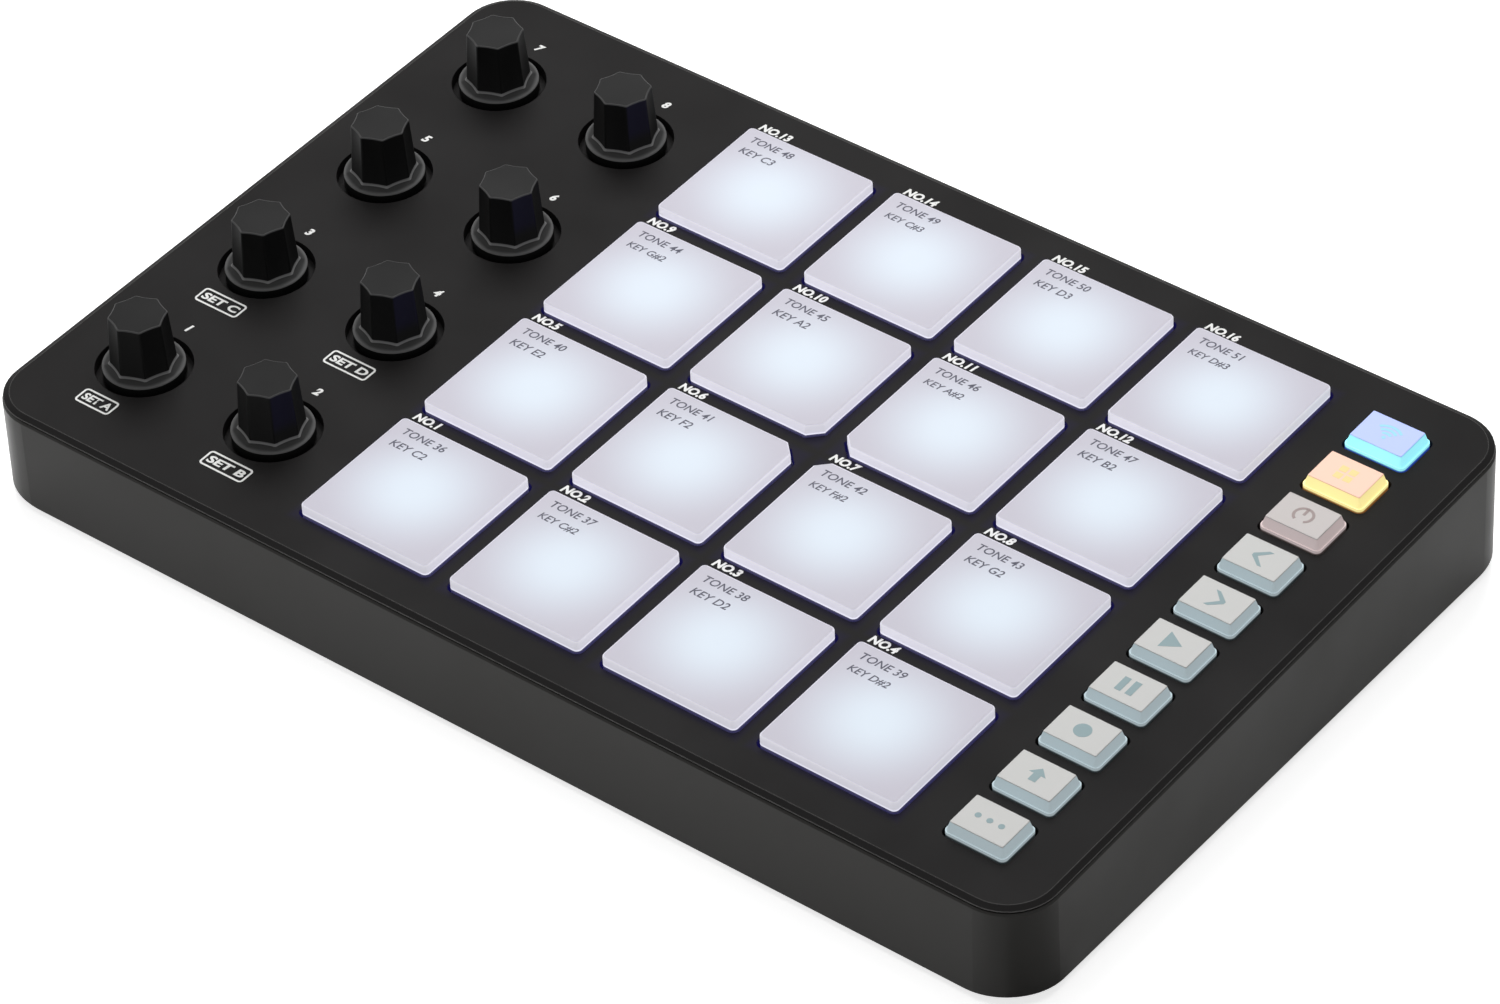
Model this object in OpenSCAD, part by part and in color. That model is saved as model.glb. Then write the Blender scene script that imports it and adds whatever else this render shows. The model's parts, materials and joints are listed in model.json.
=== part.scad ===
// Drum-pad controller: a wedge-shaped case with sixteen soft pads, ten buttons and eight endless knobs.
// The pieces are drawn in the frame of the face plate, with its upper face at z = 0, and the whole is
// then tilted so that the feet stand on the plane z = 0.

/* [Case] */
// Width of the face plate
panel_w = 232.2; // [229:0.1:300]
// Depth of the face plate
panel_d = 150.1; // [148:0.1:200]
// Radius of the face plate's corners
corner_r = 10; // [9:0.5:16]
// Thickness of the face plate
panel_t = 2.6; // [2:0.1:3.4]
// How far the face plate stands above the rim of the side walls
panel_rise = 1.1; // [1:0.1:1.8]
// Width of the sloped edge round the face plate
panel_edge = 1.2; // [0.6:0.1:1.6]
// How far the rim of the side walls stands out past the face plate
rim_out = 0.2; // [0:0.1:0.8]
// Height of the case at the front, without its feet
front_h = 21.1; // [19:0.1:30]
// Height of the case at the back, without its feet
back_h = 26.3; // [23:0.1:36]
// Thickness of the side walls
wall_t = 2.4; // [1.8:0.1:3]
// Thickness of the floor
floor_t = 2.2; // [1.6:0.1:3]
// Outward lean of the side walls, in degrees
wall_draft = 0.8; // [0.5:0.1:4]
// Width of the small bevel along the rim of the side walls
edge_bevel = 0.35; // [0.2:0.05:0.6]
// Width of the bevel round the underside
underside_bevel = 0.5; // [0.3:0.05:1]
// Height of the shadow line between face plate and rim
shadow_h = 0.4; // [0.2:0.1:0.5]
// Depth of the shadow line
shadow_d = 0.5; // [0.3:0.1:0.8]
// Length of the locating lip under the face plate
lip_h = 2.4; // [1:0.1:4]
// Thickness of the locating lip
lip_t = 1.2; // [0.8:0.1:2]
// Play between the lip and the walls
lip_gap = 0.2; // [0.1:0.05:0.4]

/* [Pads] */
// Side of one pad
pad_size = 29; // [22:0.1:29.5]
// Distance from pad to pad
pad_pitch = 34; // [33.5:0.1:34.4]
// Radius of a pad's corners
pad_r = 1; // [0.6:0.1:2]
// Chamfer of the four pad corners that face the middle of the grid
centre_cut = 2.5; // [1:0.1:4]
// Height of a pad above the face plate
pad_rise = 2.2; // [1.6:0.1:3]
// Bevel along a pad's upper edge
pad_bevel = 0.4; // [0.2:0.1:0.6]
// Travel of a pad
pad_travel = 1; // [0.5:0.1:1.5]
// Gap round a pad in its opening
pad_gap = 0.6; // [0.3:0.1:0.8]
// Offset of the pad grid from the middle of the plate, to the right
grid_x = 17.9; // [15:0.1:20]
// Offset of all the controls from the middle of the plate, to the back
grid_y = -0.2; // [-1:0.1:1]

/* [Buttons] */
// Width of a button at the face plate
button_w = 12.6; // [9:0.1:13.5]
// Depth of a button at the face plate
button_d = 9.6; // [6:0.1:10]
// Distance from button to button
button_pitch = 13.3; // [13:0.1:13.6]
// Radius of a button's corners at the face plate
button_r = 1; // [0.9:0.1:2]
// Height of a button above the face plate
button_rise = 2.5; // [1.5:0.1:2.7]
// Lean of a button's sides, in degrees
button_draft = 18.5; // [10:0.5:19]
// Height of the straight foot of a button's sides
button_base = 0.45; // [0.3:0.05:0.8]
// Width of the small bevel between a button's foot and its sides
button_ledge = 0.15; // [0.05:0.05:0.2]
// Travel of a button
button_travel = 1; // [0.5:0.1:1.2]
// Gap round a button in its opening
button_gap = 0.5; // [0.3:0.1:0.7]
// Distance from the button column to the plate's right edge
button_edge = 17.3; // [15:0.1:18.5]

/* [Knobs] */
// Diameter of a knob's skirt
skirt_d = 15.4; // [13:0.1:18.5]
// Diameter across a grip's corners where it meets the skirt
grip_base_d = 12.4; // [11:0.1:13]
// Diameter across a grip's corners at the top
grip_top_d = 11.1; // [10:0.1:12]
// Height of a knob's top above the face plate
knob_rise = 12; // [9:0.1:16]
// Height of the skirt's top above the face plate
skirt_rise = 1.1; // [0.6:0.1:1.6]
// How far the grip spreads at its foot
grip_spread = 0.4; // [0.2:0.05:0.6]
// Depth of each hollow side of the grip
flute_depth = 0.3; // [0.15:0.05:0.5]
// Gap round the skirt in its well
well_gap = 1.4; // [0.6:0.1:1.6]
// Depth of a knob's well
well_depth = 2.4; // [2:0.1:3]
// Thickness of a well's floor and wall
well_t = 1.3; // [1:0.1:1.5]
// Distance from the first knob column to the plate's left edge
knob_edge = 18.7; // [15:0.1:20]
// Distance between the two knob columns
knob_pitch = 31; // [29:0.5:33]

/* [Encoders] */
// Diameter of an encoder's shaft
shaft_d = 6; // [4:0.1:6.5]
// Height of an encoder's housing
encoder_h = 5.3; // [4.8:0.1:6.5]
// Side of an encoder's housing
encoder_w = 12; // [10:0.1:14]
// Running play round a shaft, on the radius
shaft_play = 0.05; // [0.02:0.01:0.1]

/* [Board] */
// Thickness of the circuit board
board_t = 1.6; // [1:0.1:2]
// Space between the board's edge and the face plate's edge
board_inset = 5; // [4.8:0.1:7]
// Thickness of the force-sensing film
film_t = 0.4; // [0.2:0.1:0.6]
// Thickness of the two silicone webs
web_t = 1; // [0.6:0.1:1.2]

/* [Fasteners and feet] */
// Diameter of a screw's shank
screw_d = 2.4; // [2:0.1:2.6]
// Diameter of a screw's head
screw_head_d = 4.8; // [4:0.1:5]
// Height of a screw's head
screw_head_h = 1.6; // [1:0.1:1.8]
// Diameter of the screw bosses
boss_d = 5.6; // [5:0.1:5.8]
// Diameter of a foot
foot_d = 10; // [6:0.5:14]
// Height of a foot below the case
foot_rise = 1.4; // [0.8:0.1:3]

/* [Back] */
// Distance of the charging socket from the middle of the case
socket_x = 62; // [30:1:80]
// Distance of the power switch from the middle of the case
switch_x = 30; // [0:1:45]
// Travel of the power switch
switch_travel = 2; // [1.5:0.1:3]

/* [Battery] */
// Width of the battery
battery_w = 62; // [40:1:80]
// Depth of the battery
battery_d = 42; // [30:1:60]
// Height of the battery
battery_h = 5; // [3:0.1:6]

/* [Hidden] */
$fn = 64;
pad_count = 4;
button_count = 10;
knob_rows = 4;
pad_names = [for (i = [1 : pad_count * pad_count]) str("pad_", i < 10 ? "0" : "", i)];
button_names = [for (i = [1 : button_count]) str("button_", i < 10 ? "0" : "", i)];
knob_names = [for (i = [1 : 2 * knob_rows]) str("knob_", i)];
shaft_names = [for (i = [1 : 2 * knob_rows]) str("encoder_shaft_", i)];
case_names = ["top_panel", "bottom_case", "main_pcb", "encoder_bodies", "pad_sensor_sheet", "pad_mat",
    "pad_leds", "keypad_mat", "button_switches", "battery", "usb_socket", "power_switch", "power_slider",
    "case_screws", "pcb_screws", "feet"];

// Small clearances and the overshoot of a cut past the face that it opens
seat_gap = 0.3;
press_gap = 0.4;
snug = 0.05;
past = 1;
deep = 60;

// Wedge: the floor plane, the tilt and the place of the tilted case
rim_w = panel_w + 2 * rim_out;
rim_d = panel_d + 2 * rim_out;
rim_r = corner_r + rim_out;
mid_h = (front_h + back_h) / 2;
tilt = atan((back_h - front_h) / rim_d);
function wall_y(z) = rim_d / 2 + (-panel_rise - z) * tan(wall_draft);
function floor_z(y) = -mid_h - y * tan(tilt);
back_foot_y = (wall_y(0) + mid_h * tan(wall_draft)) / (1 - tan(tilt) * tan(wall_draft));
front_foot_y = -(wall_y(0) + mid_h * tan(wall_draft)) / (1 + tan(tilt) * tan(wall_draft));
function tilted_y(y, z) = y * cos(tilt) - z * sin(tilt);
case_front = min(tilted_y(-rim_d / 2, -panel_rise), tilted_y(front_foot_y, floor_z(front_foot_y)));
case_back = max(tilted_y(rim_d / 2, -panel_rise), tilted_y(back_foot_y, floor_z(back_foot_y)));
case_shift = -(case_front + case_back) / 2;
case_lift = mid_h * cos(tilt) + foot_rise;
wall_spread = (mid_h - panel_rise) * tan(wall_draft);
corner_ease = 2;

// Layers under the face plate
well_floor = -well_depth - well_t;
board_top = well_floor - encoder_h;
board_bottom = board_top - board_t;
film_top = board_top + film_t;
flange_top = -panel_t - seat_gap;
flange_low = flange_top - 1.3;
flange_mid = (flange_top + flange_low) / 2;
pad_bottom = film_top + press_gap + pad_travel;
dome_h = 0.6;
button_bottom = board_top + dome_h + press_gap + button_travel;

// Pads and what lies under them
pad_flange_out = 1.4;
pad_core_in = 2.4;
pad_flange = pad_size + 2 * pad_flange_out;
pad_core = pad_size - 2 * pad_core_in;
pad_core_r = 1;
pad_opening = pad_size + 2 * pad_gap;
opening_cut = centre_cut + pad_gap * (2 - sqrt(2));
web_gap = 0.6;
sheet_r = 2.6;
led_w = 3.2;
led_h = 0.8;
led_window = led_w + 1;
led_pocket_r = 4;
led_pocket_h = 1.4;
function pad_x(i) = grid_x + (i % pad_count - (pad_count - 1) / 2) * pad_pitch;
function pad_y(i) = grid_y + (floor(i / pad_count) - (pad_count - 1) / 2) * pad_pitch;
function faces_middle(i) = abs(pad_x(i) - grid_x) < pad_pitch && abs(pad_y(i) - grid_y) < pad_pitch;

// Buttons, numbered from the back to the front
button_x = panel_w / 2 - button_edge;
button_flange_out = 0.9;
button_core_in = 1.7;
button_core_w = button_w - 2 * button_core_in;
button_core_d = button_d - 2 * button_core_in;
button_core_r = 1;
button_web_gap = 0.75;
function button_y(i) = grid_y + ((button_count - 1) / 2 - i) * button_pitch;

// Knobs, two to a row, numbered from the front to the back
skirt_r = skirt_d / 2;
well_r = skirt_r + well_gap;
skirt_bottom = -well_depth + 0.7;
bore_top = knob_rise - 2.5;
shaft_top = bore_top - 0.5;
shaft_flat = shaft_d / 4;
shaft_bottom = board_top + 0.8;
end_play = 0.2;
encoder_r = 0.8;
shaft_hole_r = shaft_d / 2 + 0.5;
flutes = 8;
function knob_x(i) = -panel_w / 2 + knob_edge + (i % 2) * knob_pitch;
function knob_y(i) = grid_y + (floor(i / 2) - (knob_rows - 1) / 2) * pad_pitch;

// Screw places: three columns, between the controls
left_screw_x = -panel_w / 2 + 8.5;
mid_screw_x = (knob_x(1) + well_r + pad_x(0) - pad_flange / 2) / 2;
right_screw_x = (pad_x(pad_count - 1) + pad_flange / 2 + button_x - button_w / 2 - button_flange_out) / 2;
aisle_x = (knob_x(0) + knob_x(1)) / 2;
case_screw_y = panel_d / 2 - 7.5;
case_screw_at = [for (x = [left_screw_x, mid_screw_x, right_screw_x], s = [-1, 1]) [x, s * case_screw_y]];
board_screw_at = [for (x = [aisle_x, mid_screw_x, right_screw_x], s = [-1, 1]) [x, grid_y + s * pad_pitch]];
boss_bottom = board_bottom - 1.4;
screw_grip = 3;
screw_seat = boss_bottom - screw_grip;
screw_reach = 7;
screw_gap = 0.3;
head_gap = 0.5;
boss_gap = 0.6;
board_screw_length = board_t + 5.5;
post_d = boss_d + 2.8;

// Rear sockets hang under the board
port_z = board_bottom - 1.7;
port_face = wall_y(port_z);
port_inner = port_face - wall_t;
socket_w = 8.9;
socket_h = 3.2;
socket_wall = 0.3;
socket_depth = 7.4;
socket_setback = 0.9;
socket_gap = 0.3;
socket_back = 1;
tongue_in = 1;
tongue_w = 6.7;
tongue_h = 0.7;
switch_w = 9.6;
switch_d = 4.6;
switch_h = 3.4;
lever_w = 2.4;
lever_h = 1.6;
lever_out = 0.7;
lever_foot_w = 4;
lever_foot_d = 1.6;
lever_gap = 0.3;

// Feet and battery
foot_sunk = 0.6;
foot_gap = 0.1;
foot_bevel = 0.5;
foot_at = [for (x = [-1, 1], y = [-1, 1]) [x * (panel_w / 2 - 22), y * (panel_d / 2 - 20)]];
battery_r = 2;
battery_x = 10;
battery_y = -4;
battery_rib_t = 1.2;
battery_rib_h = 3;

// Turns the face plate's frame into the frame of the standing case
module standing() {
    translate([0, case_shift, case_lift]) rotate([tilt, 0, 0]) children();
}

// Points of a rectangle with round corners, centred on the origin
function round_rect(w, d, r, steps = 6) = [
    for (c = [0 : 3], s = [0 : steps])
        let (a = 90 * c + 90 * s / steps, sx = c == 0 || c == 3 ? 1 : -1, sy = c < 2 ? 1 : -1)
        [sx * (w / 2 - r) + r * cos(a), sy * (d / 2 - r) + r * sin(a)]
];

// Straight block with round corners between two heights
module round_block(w, d, r, z_low, z_high) {
    translate([0, 0, z_low]) linear_extrude(z_high - z_low) polygon(round_rect(w, d, r));
}

// A length rounded to a micrometre
function micro(v) = round(1000 * v) / 1000;

// Block with true round corners and one edge profile all round. Each profile point is [out, z]: how far
// the side stands out past the w by d outline at that height, from the top face down to the bottom face.
// Its lengths are rounded, so that the straight and the round pieces meet in the same edges
module swept_block(w, d, r, profile) {
    round_r = micro(r);
    half_w = micro(w / 2);
    half_d = micro(d / 2);
    side = [for (p = profile) [micro(p[0]), micro(p[1])]];
    last = len(side) - 1;
    for (k = [0, 1]) {
        half = k == 0 ? half_w : half_d;
        span = 2 * ((k == 0 ? half_d : half_w) - round_r);
        right = [for (p = side) [half + p[0], p[1]]];
        left = [for (i = [last : -1 : 0]) [-half - side[i][0], side[i][1]]];
        rotate([90, 0, 90 * k]) linear_extrude(span, center = true) polygon(concat(right, left));
    }
    corner = concat([[0, side[0][1]]], [for (p = side) [round_r + p[0], p[1]]], [[0, side[last][1]]]);
    for (x = [-1, 1], y = [-1, 1])
        translate([x * (half_w - round_r), y * (half_d - round_r), 0]) rotate_extrude() polygon(corner);
}

// Everything above a plane that lies parallel to the floor, a given height over the underside
module above_floor(height) {
    rotate([-tilt, 0, 0])
        translate([-2 * panel_w, -2 * panel_d, height - mid_h * cos(tilt)])
            cube([4 * panel_w, 4 * panel_d, 2 * deep]);
}

// Outer form of the lower case, down to its underside
module case_block() {
    intersection() {
        swept_block(rim_w, rim_d, rim_r, [[-edge_bevel, -panel_rise], [0, -panel_rise - edge_bevel],
            [(deep - panel_rise - edge_bevel) * tan(wall_draft), -deep]]);
        underside_block();
    }
}

// Block that stands on the underside and flares upwards, so that it bevels the underside's edge
module underside_block() {
    rotate([-tilt, 0, 0]) translate([0, -case_shift, -mid_h * cos(tilt)])
        swept_block(rim_w + 2 * wall_spread, case_back - case_front, rim_r + wall_spread + corner_ease,
            [[deep - underside_bevel, deep], [-underside_bevel, 0]]);
}

// Space inside the lower case, down to its floor
module case_space() {
    intersection() {
        swept_block(rim_w - 2 * wall_t, rim_d - 2 * wall_t, rim_r - wall_t,
            [[-(past + panel_rise) * tan(wall_draft), past], [(deep - panel_rise) * tan(wall_draft), -deep]]);
        above_floor(floor_t);
    }
}

// Screw with a pan head, its seat at z = 0 and its shank upwards
module screw(length) {
    cylinder(h = length, d = screw_d);
    translate([0, 0, -screw_head_h]) cylinder(h = screw_head_h, d = screw_head_d);
}

// Face plate with its openings, wells, screw bosses and locating lip
module top_panel() {
    lip_out = rim_out - wall_t - lip_gap;
    neck_z = -panel_rise + shadow_h;
    slope_z = neck_z + 0.1;
    lip_z = -panel_t - lip_h;
    color([0.19, 0.19, 0.19]) standing() difference() {
        union() {
            difference() {
                swept_block(panel_w, panel_d, corner_r, [[-panel_edge, 0], [0, slope_z], [0, neck_z],
                    [-shadow_d, neck_z], [-shadow_d, -panel_rise], [lip_out, -panel_rise], [lip_out, lip_z]]);
                swept_block(panel_w, panel_d, corner_r,
                    [[lip_out - lip_t, -panel_t], [lip_out - lip_t, lip_z - past]]);
            }
            for (i = [0 : 2 * knob_rows - 1])
                translate([knob_x(i), knob_y(i), well_floor])
                    cylinder(h = -well_floor - panel_rise, r = well_r + well_t);
            for (p = case_screw_at)
                translate([p[0], p[1], boss_bottom]) cylinder(h = -boss_bottom - panel_rise, d = boss_d);
            for (p = board_screw_at)
                translate([p[0], p[1], board_top]) cylinder(h = -board_top - panel_rise, d = boss_d);
        }
        for (i = [0 : pad_count * pad_count - 1])
            translate([pad_x(i), pad_y(i), 0]) difference() {
                round_block(pad_opening, pad_opening, pad_r + pad_gap, -deep, past);
                if (faces_middle(i)) middle_corner(i, pad_opening, opening_cut, 2 * past);
            }
        for (i = [0 : button_count - 1])
            translate([button_x, button_y(i), 0])
                round_block(button_w + 2 * button_gap, button_d + 2 * button_gap, button_r + button_gap,
                    -deep, past);
        for (i = [0 : 2 * knob_rows - 1]) translate([knob_x(i), knob_y(i), -well_depth]) {
            cylinder(h = well_depth + past, r = well_r);
            translate([0, 0, -well_t - past]) cylinder(h = well_t + 2 * past, r = shaft_hole_r);
        }
        for (p = case_screw_at)
            translate([p[0], p[1], boss_bottom - past])
                cylinder(h = screw_reach + past + snug, d = screw_d + 2 * snug);
        for (p = board_screw_at)
            translate([p[0], p[1], board_top - past])
                cylinder(h = -panel_t - board_top + past, d = screw_d + 2 * snug);
    }
}

// Lower case: drafted walls, floor, screw posts, battery ribs and the two rear openings
module bottom_case() {
    color([0.24, 0.24, 0.235]) standing() difference() {
        union() {
            difference() {
                case_block();
                case_space();
            }
            intersection() {
                case_block();
                union() {
                    for (p = case_screw_at)
                        translate([p[0], p[1], -deep]) cylinder(h = deep + boss_bottom, d = post_d);
                    battery_ribs();
                }
            }
        }
        for (p = case_screw_at) translate([p[0], p[1], -deep]) {
            cylinder(h = deep + boss_bottom + past, d = screw_d + 2 * screw_gap);
            cylinder(h = deep + screw_seat, d = screw_head_d + 2 * head_gap);
        }
        translate([socket_x, port_inner - past, port_z])
            rear_opening(socket_w + 2 * socket_gap, socket_h + 2 * socket_gap, socket_h / 2 + socket_gap);
        translate([switch_x, port_inner - past, port_z])
            rear_opening(lever_w + switch_travel + 2 * lever_gap, lever_h + 2 * lever_gap, lever_gap);
        foot_pockets();
    }
}

// Cut through the rear wall, centred on the origin, with round corners
module rear_opening(w, h, r) {
    rotate([-90, 0, 0]) linear_extrude(wall_t + 4 * past) polygon(round_rect(w, h, r));
}

// Low frame on the floor that keeps the battery in its place
module battery_ribs() {
    outer_w = battery_w + 2 * (seat_gap + battery_rib_t);
    outer_d = battery_d + 2 * (seat_gap + battery_rib_t);
    rotate([-tilt, 0, 0]) translate([battery_x, battery_y, floor_t - mid_h * cos(tilt)]) difference() {
        translate([-outer_w / 2, -outer_d / 2, -floor_t / 2])
            cube([outer_w, outer_d, battery_rib_h + floor_t / 2]);
        translate([-battery_w / 2 - seat_gap, -battery_d / 2 - seat_gap, -deep])
            cube([battery_w + 2 * seat_gap, battery_d + 2 * seat_gap, 2 * deep]);
    }
}

// Round recesses in the underside that hold the feet
module foot_pockets() {
    rotate([-tilt, 0, 0]) for (p = foot_at)
        translate([p[0], p[1], -mid_h * cos(tilt) - past])
            cylinder(h = foot_sunk + past, d = foot_d + 2 * foot_gap);
}

// Rubber feet, pressed into the recesses
module feet() {
    half = foot_d / 2;
    color([0.1, 0.1, 0.1]) standing() rotate([-tilt, 0, 0]) for (p = foot_at)
        translate([p[0], p[1], -mid_h * cos(tilt) - foot_rise]) rotate_extrude()
            polygon([[0, 0], [half - foot_bevel, 0], [half, foot_bevel], [half, foot_rise + foot_sunk],
                [0, foot_rise + foot_sunk]]);
}

// Circuit board with clearance round the case screws
module main_pcb() {
    w = panel_w - 2 * board_inset;
    d = panel_d - 2 * board_inset;
    color([0.08, 0.3, 0.16]) standing() difference() {
        round_block(w, d, corner_r - board_inset, board_bottom, board_top);
        for (p = case_screw_at)
            translate([p[0], p[1], board_bottom - past])
                cylinder(h = board_t + 2 * past, d = boss_d + 2 * boss_gap);
        for (p = board_screw_at)
            translate([p[0], p[1], board_bottom - past])
                cylinder(h = board_t + 2 * past, d = screw_d + 2 * screw_gap);
    }
}

// Housings of the endless encoders, with a running bore for each shaft
module encoder_bodies() {
    color([0.62, 0.64, 0.66]) standing() for (i = [0 : 2 * knob_rows - 1])
        translate([knob_x(i), knob_y(i), 0]) difference() {
            round_block(encoder_w, encoder_w, encoder_r, board_top, well_floor);
            translate([0, 0, shaft_bottom - end_play])
                cylinder(h = well_floor - shaft_bottom + end_play + past, d = shaft_d + 2 * shaft_play);
        }
}

// Force-sensing film on the board, with a window for each light
module pad_sensor_sheet() {
    side = (pad_count - 1) * pad_pitch + pad_flange;
    color([0.55, 0.42, 0.18]) standing() difference() {
        translate([grid_x, grid_y, 0]) round_block(side, side, sheet_r, board_top, film_top);
        for (i = [0 : pad_count * pad_count - 1])
            translate([pad_x(i), pad_y(i), board_top - past])
                translate([-led_window / 2, -led_window / 2, 0])
                    cube([led_window, led_window, film_t + 2 * past]);
    }
}

// Silicone web of the pads, lying on the film
module pad_mat() {
    side = (pad_count - 1) * pad_pitch + pad_flange;
    hole = pad_core + 2 * web_gap;
    color([0.8, 0.8, 0.83]) standing() difference() {
        translate([grid_x, grid_y, 0]) round_block(side, side, sheet_r, film_top, film_top + web_t);
        for (i = [0 : pad_count * pad_count - 1])
            translate([pad_x(i), pad_y(i), 0])
                round_block(hole, hole, pad_core_r + web_gap, film_top - past, film_top + web_t + past);
    }
}

// One light in the middle of each pad
module pad_leds() {
    color([0.95, 0.95, 0.9]) standing() for (i = [0 : pad_count * pad_count - 1])
        translate([pad_x(i) - led_w / 2, pad_y(i) - led_w / 2, board_top]) cube([led_w, led_w, led_h]);
}

// Silicone web of the buttons, lying on the board
module keypad_mat() {
    w = button_w + 2 * button_flange_out;
    d = (button_count - 1) * button_pitch + button_d + 2 * button_flange_out;
    color([0.78, 0.8, 0.8]) standing() difference() {
        translate([button_x, grid_y, 0]) round_block(w, d, button_r, board_top, board_top + web_t);
        for (i = [0 : button_count - 1])
            translate([button_x, button_y(i), 0])
                round_block(button_core_w + 2 * button_web_gap, button_core_d + 2 * button_web_gap,
                    button_core_r, board_top - past, board_top + web_t + past);
    }
}

// Domed contact under each button
module button_switches() {
    dome_r = 2.2;
    color([0.75, 0.75, 0.72]) standing() for (i = [0 : button_count - 1])
        translate([button_x, button_y(i), board_top]) cylinder(h = dome_h, r1 = dome_r, r2 = dome_r * 0.7);
}

// Flat rechargeable cell on the floor
module battery() {
    color([0.7, 0.72, 0.75]) standing() rotate([-tilt, 0, 0])
        translate([battery_x, battery_y, floor_t - mid_h * cos(tilt)])
            round_block(battery_w, battery_d, battery_r, 0, battery_h);
}

// Charging socket: a flattened tube with a tongue, under the board's rear edge
module usb_socket() {
    r = socket_h / 2;
    color([0.72, 0.73, 0.75]) standing()
        translate([socket_x, port_face - socket_setback, port_z]) rotate([90, 0, 0]) {
            linear_extrude(socket_depth) difference() {
                polygon(round_rect(socket_w, socket_h, r));
                polygon(round_rect(socket_w - 2 * socket_wall, socket_h - 2 * socket_wall, r - socket_wall));
            }
            translate([0, 0, socket_depth - socket_back])
                linear_extrude(socket_back) polygon(round_rect(socket_w, socket_h, r));
            translate([-tongue_w / 2, -tongue_h / 2, tongue_in])
                cube([tongue_w, tongue_h, socket_depth - socket_back / 2 - tongue_in]);
        }
}

// Slide switch housing, open to the rear for its lever
module power_switch() {
    front = port_inner - lever_gap;
    middle = front - switch_d / 2;
    slot_h = lever_h + 2 * lever_gap;
    foot_run = lever_foot_w + switch_travel + 2 * lever_gap;
    neck_run = lever_w + switch_travel + 2 * lever_gap;
    color([0.6, 0.62, 0.64]) standing() difference() {
        translate([switch_x - switch_w / 2, front - switch_d, port_z - switch_h / 2])
            cube([switch_w, switch_d, switch_h]);
        translate([switch_x - foot_run / 2, middle - lever_foot_d / 2 - lever_gap, port_z - slot_h / 2])
            cube([foot_run, lever_foot_d + 2 * lever_gap, slot_h]);
        translate([switch_x - neck_run / 2, middle, port_z - slot_h / 2]) cube([neck_run, switch_d, slot_h]);
    }
}

// Lever of the slide switch, at the left end of its run
module power_slider() {
    front = port_inner - lever_gap;
    start = switch_x - switch_travel / 2;
    color([0.12, 0.12, 0.12]) standing() {
        translate([start - lever_foot_w / 2, front - switch_d / 2 - lever_foot_d / 2, port_z - lever_h / 2])
            cube([lever_foot_w, lever_foot_d, lever_h]);
        translate([start - lever_w / 2, front - switch_d / 2, port_z - lever_h / 2])
            cube([lever_w, port_face + lever_out - front + switch_d / 2, lever_h]);
    }
}

// Screws that draw the lower case to the face plate
module case_screws() {
    color([0.35, 0.35, 0.36]) standing() for (p = case_screw_at)
        translate([p[0], p[1], screw_seat]) screw(screw_grip + screw_reach);
}

// Screws that hold the board to the face plate
module pcb_screws() {
    color([0.6, 0.6, 0.6]) standing() for (p = board_screw_at)
        translate([p[0], p[1], board_bottom]) screw(board_screw_length);
}

// Soft pad: bevelled cap, flange under the face plate, and a core that presses the film
module pad(i) {
    color([0.84, 0.83, 0.88]) standing() translate([pad_x(i), pad_y(i), 0]) difference() {
        union() {
            difference() {
                swept_block(pad_size, pad_size, pad_r,
                    [[-pad_bevel, pad_rise], [0, pad_rise - pad_bevel], [0, flange_mid]]);
                if (faces_middle(i)) middle_corner(i, pad_size, centre_cut, pad_rise);
            }
            swept_block(pad_flange, pad_flange, pad_r + pad_flange_out, [[0, flange_top], [0, flange_low]]);
            swept_block(pad_core, pad_core, pad_core_r, [[0, flange_mid], [0, pad_bottom]]);
        }
        translate([0, 0, pad_bottom - past]) cylinder(h = led_pocket_h + past, r = led_pocket_r);
    }
}

// What the chamfer takes off the corner of a pad or an opening that faces the middle of the grid, with the
// bevel of the upper edge carried round it
module middle_corner(i, side, cut, top) {
    sx = sign(grid_x - pad_x(i));
    sy = sign(grid_y - pad_y(i));
    edge = (side - cut) / 2;
    translate([sx * edge, sy * edge, 0]) rotate([90, 0, atan2(sy, sx)])
        linear_extrude(pad_pitch, center = true) polygon([[0, -2 * deep], [0, top - pad_bevel],
            [-pad_bevel, top], [-pad_bevel, top + past], [pad_pitch, top + past], [pad_pitch, -2 * deep]]);
}

// Button: tapered cap on a straight foot, flange under the face plate, and a core over its dome
module button(i) {
    taper = (button_rise - button_base) * tan(button_draft);
    color([0.84, 0.84, 0.83]) standing() translate([button_x, button_y(i), 0]) {
        swept_block(button_w, button_d, button_r, [[-button_ledge - taper, button_rise],
            [-button_ledge, button_base], [0, button_base - button_ledge], [0, flange_mid]]);
        swept_block(button_w, button_d, button_r,
            [[button_flange_out, flange_top], [button_flange_out, flange_low]]);
        swept_block(button_core_w, button_core_d, button_core_r, [[0, flange_mid], [0, button_bottom]]);
    }
}

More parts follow.
